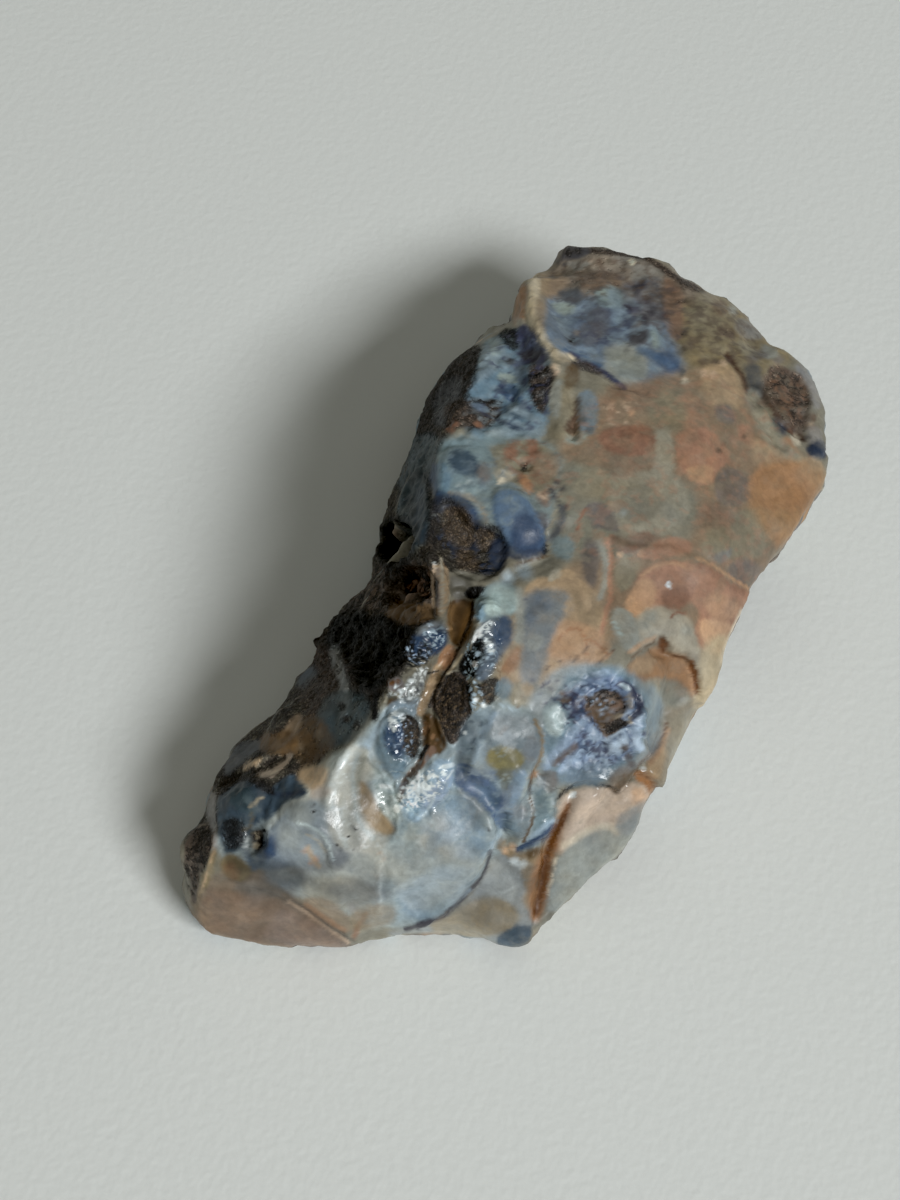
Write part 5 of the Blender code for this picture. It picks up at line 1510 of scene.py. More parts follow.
THIN_EDGE = {
    "knot of the right lip": spots("crack brown", [(692, 663)], 7, 3, 1.2, 0.4),
    "shelf below the rosette": area("brown", [
        (560, 778), (600, 780), (620, 786), (600, 785), (570, 784)], 4, 0.6),
    "lip above the peach": line("black brown", [
        (616, 789), (606, 785), (590, 783), (575, 785), (566, 790), (558, 799)], 3, 2, 1.2, 0.4),
    "brown of the orange lip": line("crack brown", [
        (636, 772), (648, 778), (657, 788)], 4, 2.5, 1.0, 0.4),
    "light below the lip": area("pale orange", [(630, 786), (648, 792), (650, 806), (632, 806)], 6, 0.8),
    "white glints of the edge": spots("white", [(644, 769), (573, 796), (574, 794)], 5, 2, 1.3, 0.3),
    "pale edge": area("edge tan", [
        (702, 640), (730, 630), (724, 660), (714, 694), (698, 736), (682, 756), (672, 744), (688, 716),
        (700, 690)], 10, 0.95),
    "grey foot of the edge": area("lip grey", [
        (668, 716), (700, 704), (702, 724), (686, 748), (672, 764), (666, 744)], 8, 0.8),
    "scar floor": area("scar brown", [
        (627, 676), (630, 661), (642, 653), (656, 646), (668, 654), (686, 656), (697, 668), (697, 692),
        (690, 700), (650, 684)], 6, 1.1),
    "tan of the scar": area("pale tan", [
        (630, 662), (646, 652), (656, 660), (648, 674), (632, 676)], 7, 0.7),
    "grey fade of the scar": area("facet tan", [
        (640, 682), (664, 676), (690, 688), (692, 704), (666, 706), (648, 698)], 8, 0.8),
    "scar's upper lip": line("crack brown", [(632, 657), (642, 649), (654, 642)], 1.8, 2, 0.6, 0.4),
    "light above the lip": line("light orange", [(630, 652), (642, 644), (654, 638)], 4, 3, 0.7),
    "scar's right lip": line("scar dark", [(672, 656), (684, 657), (692, 662)], 2.4, 2, 0.8, 0.4),
    "right lip's knot": crisp("scar dark", [
        (689, 660), (695, 664), (699, 676), (699, 688), (697, 698), (695, 690), (693, 676),
        (689, 668)], 2.5, 1.3),
    "dark knot of the lip": area("scar dark", [
        (658, 638), (662, 635), (667, 640), (667, 650), (661, 656), (657, 650)], 4, 1.4, 0.5),
    "cream right of the crack": area("pale tan", [
        (642, 770), (654, 758), (664, 742), (668, 752), (662, 774), (652, 784)], 7, 1.0),
    "orange beside the crack": line("light orange", [(668, 730), (662, 746), (650, 762)], 6, 5, 0.8, 0.5),
    "crack of the edge": line("crack brown", [
        (667, 724), (662, 737), (654, 748), (632, 772)], 4, 3, 1.0, 0.5),
    "foot of the crack": line("groove brown", [(634, 768), (626, 780), (616, 790)], 8, 4, 1.0, 0.5),
    "orange lip": area("amber", [
        (632, 776), (642, 771), (652, 778), (658, 790), (652, 800), (646, 786), (636, 782)], 4, 1.1),
}

NEAR_SLOPE = {
    "slope's grey": area("facet grey", [
        (262, 866), (300, 856), (350, 866), (400, 876), (396, 896), (340, 908), (300, 896),
        (270, 884)], 8, 0.8),
    "grey strip left of the facet": area("mist", [
        (466, 716), (490, 704), (492, 714), (480, 734), (470, 762), (454, 762), (458, 740)], 5, 0.8),
    "dark of the strip": mottle("slate", [
        (464, 716), (488, 712), (472, 760), (454, 762)], 0.7, 0.3, 5, 0.7),
    # Painted highlights: white glints on the strip.
    "white glints of the strip": spots("white", [(465, 733), (484, 706), (476, 700)], 4, 2, 1.2, 0.3),
    "facet": area("facet grey", [
        (494, 712), (516, 710), (532, 716), (541, 734), (543, 750), (538, 764), (526, 772), (498, 774),
        (474, 766), (480, 740)], 4, 1.1),
    "violet side of the facet": area("lilac grey", [
        (526, 736), (540, 740), (540, 758), (528, 764), (522, 750)], 7, 0.7),
    "light edge of the facet": stroke("facet light", [
        (494, 714), (486, 727), (479, 742), (473, 762)], 6, 3, 1.2),
    "lower left of the facet": area("lobe blue", [
        (476, 744), (488, 736), (486, 764), (474, 770)], 6, 0.6),
    "dark specks of the facet": spots("grey", [(500, 734), (504, 730)], 6, 3, 0.9),
    "bow of the facet": line("tan", [
        (535, 720), (541, 734), (543, 748), (540, 760), (530, 778)], 3.4, 2, 1.1, 0.4),
    "green beside the bow": area("dove", [
        (528, 774), (538, 768), (548, 776), (540, 790), (530, 786)], 5, 0.8),
    "slope beside the crease": area("blue grey", [
        (470, 768), (500, 772), (520, 770), (512, 812), (502, 806), (486, 784)], 5, 0.95),
    "ribbon": area("ribbon blue", [
        (454, 764), (470, 766), (486, 778), (500, 792), (506, 808), (503, 834), (494, 822), (482, 808),
        (466, 794), (452, 784)], 4, 1.1),
    "dark heads of the ribbon": spots("deep blue", [
        (464, 771), (472, 776), (498, 806), (502, 800)], 11, 6, 0.6),
    "blade's shade": crisp("slate", [(505, 808), (510, 812), (509, 830), (506, 836), (502, 824)], 3, 1.2),
    "blade": crisp("blade", [
        (517, 772), (527, 770), (526, 784), (519, 800), (514, 816), (511, 828), (510, 812),
        (513, 792)], 4, 1.2),
    "olive blotch": area("olive gold", [
        (485, 760), (488, 751), (497, 746), (508, 747), (519, 751), (526, 758), (523, 767), (512, 771),
        (494, 771)], 4, 1.1),
    "tail of the blotch": area("deep olive", [
        (494, 769), (514, 768), (511, 780), (505, 792), (499, 784)], 4, 1.0),
    "small facet": area("facet grey", [
        (514, 806), (524, 794), (530, 800), (533, 816), (526, 836), (516, 844), (509, 836)], 4, 1.0),
    "violet of the small facet": spots("lilac grey", [(520, 812)], 14, 8, 0.8),
    "teal of the small facet": spots("steel", [(514, 828)], 12, 7, 0.8),
    "right facet": area("teal", [
        (534, 790), (546, 784), (554, 802), (556, 816), (544, 826), (530, 836), (534, 814)], 4, 1.0),
    "light of the right facet": stroke("green white", [(546, 786), (550, 800), (551, 812)], 4),
    "brown over the right facet": area("dusk", [
        (538, 774), (558, 770), (562, 784), (548, 796), (540, 786)], 6, 0.8),
    "brown line of the facets": line("groove brown", [
        (533, 772), (530, 784), (529, 796), (533, 808), (533, 820), (523, 842)], 3, 2, 1.1, 0.4),
    "orange knot of the line": spots("orange", [(535, 775)], 8, 4, 0.9),
    "chip": crisp("blue white", [
        (556, 817), (548, 821), (536, 830), (524, 842), (530, 842), (556, 824)], 3, 1.2),
    "blue under the chip": stroke("deep blue", [(518, 849), (542, 836), (554, 826)], 4.5),
    "teal foot of the facets": area("dove", [(508, 836), (522, 838), (518, 846), (506, 846)], 4, 0.8),
    "orange under the chip": area("tan", [
        (496, 842), (504, 836), (512, 848), (526, 852), (544, 846), (550, 852), (544, 868), (524, 860),
        (504, 856)], 4, 1.0),
    "brown under the chip": area("groove brown", [
        (524, 852), (546, 846), (548, 866), (534, 862)], 5, 0.9),
    "pink of the orange": spots("pale orange", [(514, 846), (506, 850)], 6, 4, 0.8),
    "light left of the orange": line("foam white", [(500, 834), (494, 844), (491, 852)], 5, 3, 0.8, 0.4),
    "tan glow": area("grey tan", [(464, 796), (476, 800), (482, 816), (474, 824), (466, 812)], 6, 0.8),
    "specks of the glow": spots("dark mottle", [
        (473, 818), (471, 822), (488, 830), (453, 826)], 3.4, 2, 1.0, 0.4),
    # Milky opal with a painted sheen over the bowl.
    "milk and sheen of the bowl": area("milk", [
        (326, 760), (348, 744), (356, 780), (352, 812), (366, 838), (356, 856), (330, 852),
        (322, 810)], 8, 0.7),
    "blue of the lobe": area("lobe blue", [
        (430, 810), (466, 790), (484, 820), (484, 866), (440, 850), (420, 830)], 12, 0.85),
    "green ground right of it": area("green white", [
        (368, 764), (398, 778), (402, 812), (388, 822), (376, 806), (368, 784)], 6, 0.8),
    "milky flecks of it": mottle("milk", [
        (368, 764), (398, 778), (402, 812), (388, 822), (370, 790)], 0.6, 0.45, 4, 0.9),
    "glint in the flecks": stroke("white", [(381, 786), (389, 786)], 4),
    "fan of glints": crisp("white", [(392, 806), (397, 803), (401, 812), (394, 813)], 1.5),
    "left ray": stroke("white", [(384, 803), (388, 813)], 2),
    "right ray": stroke("white", [(400, 806), (404, 813)], 2),
    "crown": area("lobe blue", [
        (400, 800), (425, 770), (436, 758), (448, 760), (456, 768), (452, 785), (442, 800), (420, 824),
        (408, 822), (400, 812)], 4, 1.2, 0.5),
    "dark of the crown": area("steel", [
        (404, 804), (418, 799), (427, 805), (416, 814), (406, 814)], 5, 0.9),
    "sparkles of the crown": mottle("white", [
        (406, 784), (420, 774), (432, 780), (434, 792), (420, 798), (410, 798)], 0.4, 0.3, 3, 1.2),
    "lilac ground of the crown": area("lilac blue", [
        (424, 796), (440, 776), (452, 770), (450, 790), (436, 806), (420, 812)], 8, 0.6),
    "upper flash": stroke("white", [(443, 767), (452, 765)], 4.5),
    "upper ray": stroke("white", [(453, 770), (447, 778)], 2),
    "lower ray": stroke("foam white", [(434, 800), (424, 816)], 2.5),
    "beige tint": spots("cream", [(436, 824), (444, 850), (430, 838)], 22, 16, 0.45),
    "deep corner of the lobe": area("lobe blue", [
        (400, 880), (470, 860), (476, 884), (446, 912), (420, 920), (398, 910)], 10, 0.9),
    "blue shade of the lobe": spots("steel", [(440, 905), (424, 914), (470, 878)], 18, 12, 0.5),
    "thin bright crease": line("white", [(382, 866), (380, 884), (381, 902)], 3, 2.5, 0.7),
    "thin dark crease": line("grey", [(376, 864), (376, 906)], 2.5, 2, 0.7),
    "orange speck": spots("bright orange", [(381, 853), (384, 858)], 5, 3, 0.8),
    "purple chipped edge": line("violet black", [
        (406, 929), (434, 921), (446, 914), (479, 882), (486, 868), (490, 852)], 5, 3, 0.95),
    "thick of the chipped edge": line("violet black", [(418, 926), (430, 920), (442, 921)], 8, 4, 0.9),
    "streaks across": line("milk", [(330, 872), (360, 878), (390, 888)], 5, 4, 0.5),
    "second streak across": line("milk", [(336, 892), (368, 898), (400, 908)], 4, 4, 0.4),
    "red marks": line("rust", [(354, 936), (359, 924), (366, 914)], 6, 4, 0.8),
    "milky wisps of the slope": veins("milk", [
        (330, 770), (440, 750), (540, 720), (556, 800), (500, 850), (440, 920), (330, 900),
        (250, 850)], 3.0, 0.2, 14, 0.4),
    "blue wisps of the slope": mottle("steel", [
        (330, 780), (440, 750), (540, 720), (556, 800), (500, 850), (440, 920), (330, 900),
        (250, 850)], 2.0, 0.3, 14, 0.35),
    "rays of the crown": mottle("white", [
        (392, 800), (410, 776), (440, 764), (448, 776), (436, 800), (408, 814)], 0.35, 0.3, 4, 1.2),
    "pearl of the slope": area("pearl", [
        (300, 780), (330, 760), (346, 780), (340, 810), (372, 850), (400, 846), (404, 880), (330, 890),
        (262, 870), (262, 830)], 16, 0.6),
    "pearl of the bowl": area("pearl", [
        (352, 752), (366, 752), (378, 776), (366, 790), (352, 790)], 8, 0.6),
    "grey of the slope": area("slope grey", [
        (284, 806), (316, 796), (350, 830), (352, 868), (300, 876), (268, 856)], 12, 0.75),
    "shade inside the bowl": line("facet tan", [
        (364, 750), (358, 770), (354, 790), (352, 808)], 8, 5, 0.9, 0.5),
    "glint of the foot": line("foam white", [(402, 898), (410, 904), (416, 914)], 5, 4, 0.6),
    "grey foot of the slope": area("warm grey", [
        (296, 876), (372, 880), (384, 900), (340, 912), (306, 900)], 10, 0.7),
    "long ray of the crown": stroke("white", [(404, 798), (418, 787), (433, 774)], 2.6),
    "cross ray of the crown": stroke("white", [(408, 778), (418, 787), (430, 798)], 2.4),
    "upright ray of the crown": stroke("white", [(419, 771), (418, 787), (416, 803)], 2.2),
    "flat ray of the crown": stroke("white", [(402, 788), (418, 787), (434, 786)], 2.2),
    "heart of the rays": crisp("white", [
        (412, 788), (418, 782), (426, 784), (425, 791), (416, 793)], 2.5, 1.2),
}

SHADED_CORNER = {
    "dark flank above": area("lead", [
        (222, 770), (230, 752), (250, 738), (268, 742), (252, 756), (226, 776)], 5, 0.9),
    "olive flank": area("groove brown", [
        (256, 738), (290, 724), (300, 744), (286, 756), (262, 756)], 6, 0.9),
    "dark green corner": area("slate", [
        (216, 796), (226, 786), (250, 778), (264, 784), (276, 792), (276, 806), (262, 818), (252, 830),
        (244, 850), (228, 856), (218, 838)], 5),
    "teal of the corner": area("teal dark", [
        (226, 792), (246, 786), (260, 796), (256, 812), (236, 812)], 6, 0.9),
    "dark blot": crisp("slate", [
        (262, 796), (275, 784), (288, 775), (297, 773), (302, 786), (308, 792), (300, 799), (284, 802),
        (276, 814), (262, 824)], 4, 1.2),
    "navy edge of the blot": line("navy", [(270, 792), (284, 796), (302, 792)], 5, 3, 0.8, 0.4),
    "black of the corner": area("black", [
        (218, 822), (240, 816), (246, 834), (242, 850), (226, 850)], 5, 0.9),
    "black streak of the corner": area("black brown", [
        (216, 788), (226, 776), (246, 769), (262, 776), (276, 790), (268, 796), (250, 782), (232, 786),
        (218, 800)], 4, 1.0),
    "green shine": spots("teal", [(248, 800), (252, 810)], 8, 6, 0.6),
    "yellow green glint": stroke("cream", [(251, 807), (256, 801), (262, 797)], 3),
    "olive line of the corner": line("olive", [(252, 812), (252, 826), (244, 830)], 4, 3, 0.6),
    "pink band": area("pale tan", [(240, 768), (250, 760), (262, 757), (258, 764), (250, 768)], 3, 1.0),
    "pink step": area("pink edge", [
        (254, 774), (268, 770), (284, 762), (292, 754), (290, 764), (276, 776), (262, 780)], 4, 0.9),
    "dark line of the band": crisp("black brown", [
        (260, 766), (268, 758), (280, 754), (276, 763), (268, 768)], 2, 1.4),
    "tan slope": area("pale tan", [
        (296, 768), (312, 762), (330, 768), (326, 788), (310, 792), (302, 784)], 6, 0.95),
    "pink below the tan": area("pink edge", [(306, 790), (330, 784), (328, 800), (310, 800)], 6, 0.7),
    "pale strip of the corner": line("lilac grey", [(212, 796), (210, 812), (214, 846)], 8, 4, 0.9, 0.5),
    "blue beside the corner": area("blue grey", [
        (268, 826), (290, 812), (300, 822), (318, 840), (324, 862), (290, 868), (262, 872),
        (252, 856)], 7, 0.9),
    "grey above it": area("facet grey", [
        (280, 812), (304, 800), (326, 804), (326, 826), (300, 822)], 6, 0.8),
    "pit of the corner": crisp("dark brown", [
        (250, 834), (258, 828), (264, 832), (263, 846), (258, 852), (252, 848)], 3, 1.2),
    "beige of the pit": mottle("cream", [
        (250, 834), (258, 832), (260, 850), (252, 850)], 0.5, 0.35, 3, 0.9),
    # Painted shade: the deepest parts of the pit and its second hole are painted black.
    "hole of the pit": crisp("hole", [(260, 838), (264, 834), (264, 846), (261, 849)], 2, 1.3),
    "second hole": spots("black", [(264, 831)], 4, 2, 1.2, 0.3),
    "lilac by the pit": line("blue grey", [(246, 848), (248, 858), (254, 866)], 7, 4, 0.8, 0.5),
    "glint of the pit": stroke("white", [(246, 838), (247, 848)], 3),
    "navy smudge": area("deep blue", [
        (264, 840), (272, 832), (278, 840), (274, 858), (262, 858)], 5, 1.0),
    "orange zone": area("olive", [
        (218, 862), (228, 853), (244, 858), (252, 872), (244, 882), (228, 880)], 5, 1.0),
    "orange of the zone": spots("orange", [(230, 868), (234, 874)], 12, 8, 0.6),
    "tan edge of the corner": area("olive", [
        (212, 848), (218, 852), (212, 876), (204, 896), (196, 904), (204, 870)], 4, 0.9),
    "lines of that edge": stroke("pale tan", [(214, 848), (208, 872), (198, 900)], 2.4, 2, 1.0),
    "matrix lump": area("brown mottle", [
        (210, 822), (198, 824), (188, 832), (183, 848), (183, 868), (189, 876), (190, 892), (193, 908),
        (198, 894), (200, 876), (213, 840)], 3),
    "top of the lump": area("crust", [(194, 828), (206, 822), (208, 834), (196, 840)], 5, 0.8),
    "dark of the lump": mottle("black brown", [
        (210, 822), (186, 832), (183, 868), (192, 906), (208, 860)], 0.7, 0.5, 4, 0.9),
    "dark right side of the lump": line("black brown", [
        (209, 830), (208, 844), (203, 862)], 6, 3, 0.9, 0.5),
    "cliff": area("cliff", [
        (196, 906), (206, 890), (228, 880), (262, 880), (288, 896), (300, 920), (280, 936), (220, 936),
        (194, 924)], 6, 0.9),
    "grey top of the cliff": area("grey", [
        (230, 884), (270, 878), (286, 890), (270, 902), (240, 898)], 7, 0.5),
    "rose foot of the cliff": area("cliff rose", [
        (280, 908), (300, 916), (326, 932), (350, 944), (352, 956), (290, 946), (260, 936)], 6, 0.95),
    "orange left of the cliff": area("tan", [
        (192, 902), (208, 896), (216, 912), (204, 926), (192, 920)], 5, 0.9),
    "small brown mark": spots("brown", [(208, 899), (205, 902)], 5, 3, 0.9),
    "pink tints of the cliff": mottle("pink edge", [
        (200, 900), (290, 896), (350, 944), (220, 936)], 1.4, 0.25, 8, 0.35),
    "pale diagonal edge": stroke("pink cream", [(289, 901), (304, 911), (332, 932), (348, 942)], 4),
    "brown beside the edge": area("cliff", [
        (300, 896), (330, 898), (352, 920), (350, 936), (328, 924), (306, 906)], 6, 0.7),
    "orange beside the edge": line("orange", [(306, 906), (324, 918), (344, 930)], 6, 4, 0.6, 0.5),
    "purple light": spots("lilac grey", [(352, 908), (358, 914)], 9, 6, 0.7),
}

NEAR_SCARS = {
    # A painted highlight on a small bulge of the grey scar.
    "glint on the grey scar": spots("white", [(516, 860), (524, 864)], 9, 5, 0.8),
    "scratch": line("white", [(502, 892), (518, 884)], 2.5, 2, 0.7),
    "second scratch": line("blue white", [(446, 908), (470, 890)], 3, 3, 0.5),
    "tan of the grey scar": area("scar tan", [
        (430, 924), (452, 912), (484, 896), (512, 900), (520, 930), (480, 938), (436, 938)], 8, 0.9),
    "grey of the grey scar": area("scar grey", [
        (484, 870), (506, 862), (536, 880), (530, 910), (500, 900), (480, 892)], 8, 0.8),
    "brown stain by the crack": area("tan", [
        (520, 866), (548, 850), (544, 884), (534, 912), (520, 904), (526, 884)], 7, 0.85),
    "blue tip": area("slate", [
        (500, 934), (518, 924), (534, 926), (532, 944), (512, 950), (496, 946)], 5),
    "blue above the crack": line("deep blue", [(528, 846), (544, 838), (552, 826)], 6, 4, 0.7),
    "grey wedge of the peach": area("glass grey", [
        (560, 850), (580, 834), (606, 824), (616, 832), (600, 852), (566, 880)], 6, 0.9),
    "cream under the peach": line("pale cream", [
        (562, 846), (584, 832), (606, 824), (618, 832)], 7, 5, 0.7),
    "grey right of the peach": area("scar grey", [
        (616, 816), (640, 800), (652, 800), (644, 820), (626, 838), (616, 834)], 6, 0.8),
    "pink heart of the peach": area("peach", [
        (572, 792), (600, 790), (620, 800), (600, 818), (576, 820)], 8, 0.6),
    "orange by the crack": area("amber", [
        (568, 800), (572, 804), (562, 824), (558, 846), (550, 870), (546, 900), (540, 924), (530, 920),
        (528, 890), (536, 862), (558, 818)], 8, 1.0, 0.5),
    "brown by the crack": area("crack brown", [
        (564, 806), (566, 812), (552, 850), (542, 900), (537, 920), (533, 910), (541, 862),
        (548, 840)], 5, 1.2, 0.5),
    "white line by the crack": stroke("pale cream", [(557, 858), (553, 874), (548, 894)], 2, 2, 1.0),
    "pink of the cliff": area("cliff pink", [
        (196, 906), (214, 886), (286, 900), (352, 944), (350, 960), (190, 944)], 9, 0.6),
    "dark line of the crack": line("scar dark", [
        (569, 804), (561, 824), (553, 838), (548, 850), (539, 890), (536, 912)], 4.5, 3.5, 1.2, 0.4),
    "wide foot of the crack": line("scar dark", [(548, 862), (542, 886), (537, 912)], 7, 4, 0.7, 0.5),
    "pearl of the lobe": area("pearl", [
        (392, 858), (470, 836), (482, 870), (452, 906), (400, 914)], 14, 0.35),
    "grey foot of the lobe": area("slope grey", [
        (320, 884), (390, 880), (396, 906), (340, 906)], 10, 0.5),
    "grey of the left slope": area("arc grey", [
        (280, 812), (314, 802), (334, 828), (332, 856), (300, 872), (274, 856)], 14, 0.8),
    "green of the left slope": spots("dove", [(300, 816), (290, 838)], 26, 16, 0.5),
    "left slope's blue foot": area("lead", [
        (262, 862), (300, 870), (320, 884), (290, 890), (258, 880)], 10, 0.5),
    # Milky opal with a painted sheen over the wide bowl.
    "milk and sheen of the wide bowl": area("bowl milk and sheen", [
        (350, 744), (366, 748), (372, 766), (366, 790), (372, 812), (392, 838), (378, 856), (340, 852),
        (328, 826), (328, 796), (336, 766)], 8, 0.85),
    "wisps of the bowl": veins("white", [
        (346, 744), (366, 748), (362, 800), (392, 838), (370, 852), (334, 846),
        (328, 790)], 1.2, 0.1, 6, 0.45),
    # A painted highlight along the bowl's rim, at half strength over its milk.
    "bright rim of the bowl": line("white", [
        (350, 751), (341, 766), (334, 786), (333, 806)], 3.5, 4, 0.5, 0.6),
    "foot of the rim": line("milk", [(333, 806), (337, 828), (346, 846)], 4, 4, 0.4, 0.6),
    "inner arc of the bowl": line("milk", [
        (358, 752), (353, 776), (352, 800), (360, 824), (374, 838)], 4, 4, 0.7, 0.6),
    "tan between the arcs": line("facet tan", [(366, 752), (361, 772), (357, 792)], 6, 5, 0.8, 0.5),
    "crescent": area("crescent tan", [
        (358, 784), (365, 780), (380, 810), (390, 820), (396, 828), (390, 836), (376, 832), (365, 820),
        (359, 804)], 7, 1.1, 0.6),
    "white arc": stroke("milk", [
        (297, 824), (310, 825), (322, 833), (330, 846), (332, 860)], 2.6, 2.5, 0.9),
    "second white arc": stroke("pale grey", [(306, 834), (318, 840), (326, 852)], 2.4, 2.5, 0.7),
    "orange stroke by the arc": line("pale tan", [(308, 848), (313, 858), (318, 866)], 5, 4, 0.8, 0.5),
    "orange marks": spots("bright orange", [(316, 858), (310, 862), (304, 850)], 5, 4, 0.6),
    "orange foot": area("tan", [(344, 914), (366, 904), (398, 906), (396, 924), (358, 930)], 7, 0.7),
    "tiny black specks": spots("black brown", [
        (353, 828), (357, 831), (337, 846), (354, 849), (313, 806), (314, 811),
        (348, 838)], 2.6, 1.6, 0.9),
}

# Painted shade and painted light: the paint below is darkened where shade falls, as on the cliff, in the
# bowl, in hollows and on the hole's wall, and lightened where more light falls, as on the crown, and
# where shadow would fall too deep, as on the groove's floor.
PAINTED_LIGHT_AND_SHADE = {
    "cliff": light_and_shade_veil([
        (190, 900), (214, 884), (282, 884), (300, 902), (356, 944), (352, 958), (186, 940)], 0.66, 10),
    "dusk over the cliff": light_and_shade_veil([(246, 862), (290, 858), (310, 880), (286, 894), (252, 884)], 0.55, 12),
    "foot of the corner": light_and_shade_veil([(222, 860), (246, 858), (256, 880), (230, 884)], 0.6, 8),
    "round the pit": light_and_shade_veil([(246, 848), (262, 848), (272, 860), (256, 872), (246, 864)], 0.6, 8),
    "inside of the bowl": light_and_shade_veil([
        (352, 760), (366, 756), (378, 790), (368, 812), (366, 850), (352, 852), (346, 800)], 0.68, 10),
    "facets": light_and_shade_veil([(486, 716), (534, 716), (544, 750), (534, 770), (494, 772), (478, 760)], 0.74, 8),
    "strip by the facets": light_and_shade_veil([
        (462, 722), (484, 714), (476, 744), (466, 790), (452, 784), (454, 756)], 0.55, 8),
    "foot of the ribbon": light_and_shade_veil([(450, 788), (474, 790), (490, 812), (482, 832), (462, 830)], 0.68, 10),
    "lobe": light_and_shade_veil([(400, 840), (484, 830), (484, 870), (450, 916), (400, 922)], 0.84, 14),
    "slope under the bowl": light_and_shade_veil([(262, 862), (340, 852), (400, 868), (400, 900), (330, 904)], 0.8, 14),
    "scar of the edge": light_and_shade_veil([(660, 676), (684, 678), (690, 700), (664, 704)], 0.65, 8),
    "stain by the crack": light_and_shade_veil([(520, 868), (544, 862), (536, 892), (524, 894)], 0.68, 6),
    "peach": light_and_shade_veil([(590, 800), (650, 796), (640, 830), (580, 856)], 0.85, 10),
    "grey scar": light_and_shade_veil([(490, 856), (512, 872), (516, 900), (494, 902), (482, 884)], 1.45, 8),
    "field's middle": light_and_shade_veil([(580, 548), (596, 548), (600, 590), (588, 592)], 0.7, 6),
    "band of the far end": light_and_shade_veil([(744, 340), (770, 340), (776, 356), (752, 362)], 0.75, 8),
    "foot of that band": light_and_shade_veil([(750, 384), (766, 384), (766, 412), (754, 408)], 0.5, 8),
    "brown row": light_and_shade_veil([(590, 256), (620, 256), (622, 270), (590, 270)], 1.35, 8),
    "thin edge": light_and_shade_veil([(696, 664), (718, 658), (712, 700), (694, 716)], 1.15, 8),
    "dark lump": light_and_shade_veil([(448, 672), (470, 680), (472, 712), (450, 746), (434, 700)], 0.55, 4),
    "head of the groove": light_and_shade_veil([(449, 572), (474, 576), (474, 598), (450, 600)], 0.45, 5),
    "floor of the groove": light_and_shade_veil([(448, 604), (472, 602), (468, 632), (458, 650), (450, 644)], 2.6, 5),
    "glass above the ridge": light_and_shade_veil([(484, 584), (516, 582), (520, 614), (492, 618)], 1.1, 6),
    "left wall of the hole": light_and_shade_veil([
        (374, 518), (398, 514), (416, 520), (416, 560), (402, 574), (376, 570)], 0.3, 4),
    "flank by the ovals": light_and_shade_veil([(402, 470), (430, 470), (434, 500), (428, 560), (406, 520)], 0.5, 6),
    "grounds above the sand": light_and_shade_veil([(424, 486), (446, 492), (474, 500), (470, 512), (430, 520)], 0.75, 6),
    "fin": light_and_shade_veil([(434, 566), (452, 570), (450, 606), (436, 610)], 0.75, 4),
    "line by the ovals": light_and_shade_veil([(508, 556), (526, 554), (528, 574), (506, 576)], 0.75, 6),
    "bright froth": light_and_shade_veil([(584, 728), (636, 722), (644, 758), (600, 772)], 0.82, 8),
    "top of the ring": light_and_shade_veil([(598, 648), (626, 648), (626, 692), (600, 690)], 1.3, 8),
    "foot of the blue corner": light_and_shade_veil([
        (222, 836), (256, 822), (270, 858), (250, 872), (226, 872)], 0.62, 6),
    "flank above the corner": light_and_shade_veil([(258, 722), (290, 722), (304, 746), (300, 762), (262, 748)], 1.35, 6),
    "knot of the slope": light_and_shade_veil([(386, 676), (428, 668), (424, 708), (396, 712)], 0.85, 5),
    "wing beside the pane": light_and_shade_veil([(500, 698), (530, 698), (534, 716), (500, 716)], 1.3, 5),
    "crown": light_and_shade_veil([(402, 804), (420, 800), (428, 814), (414, 824)], 1.6, 6),
    "sandy grounds": light_and_shade_veil([
        (436, 508), (470, 512), (506, 540), (500, 576), (466, 580), (430, 556)], 0.8, 5),
    "blue corner": light_and_shade_veil([
        (218, 790), (250, 778), (300, 778), (304, 800), (262, 826), (256, 850), (222, 846)], 0.66, 8),
    "corner's band": light_and_shade_veil([(250, 770), (262, 754), (300, 752), (304, 770), (266, 780)], 1.5, 8),
    "lip of the scar": light_and_shade_veil([(688, 658), (700, 664), (702, 700), (692, 700)], 1.3, 3),
    "matrix lump": light_and_shade_veil([(210, 822), (186, 832), (183, 868), (192, 906), (208, 860)], 0.8, 4),
}

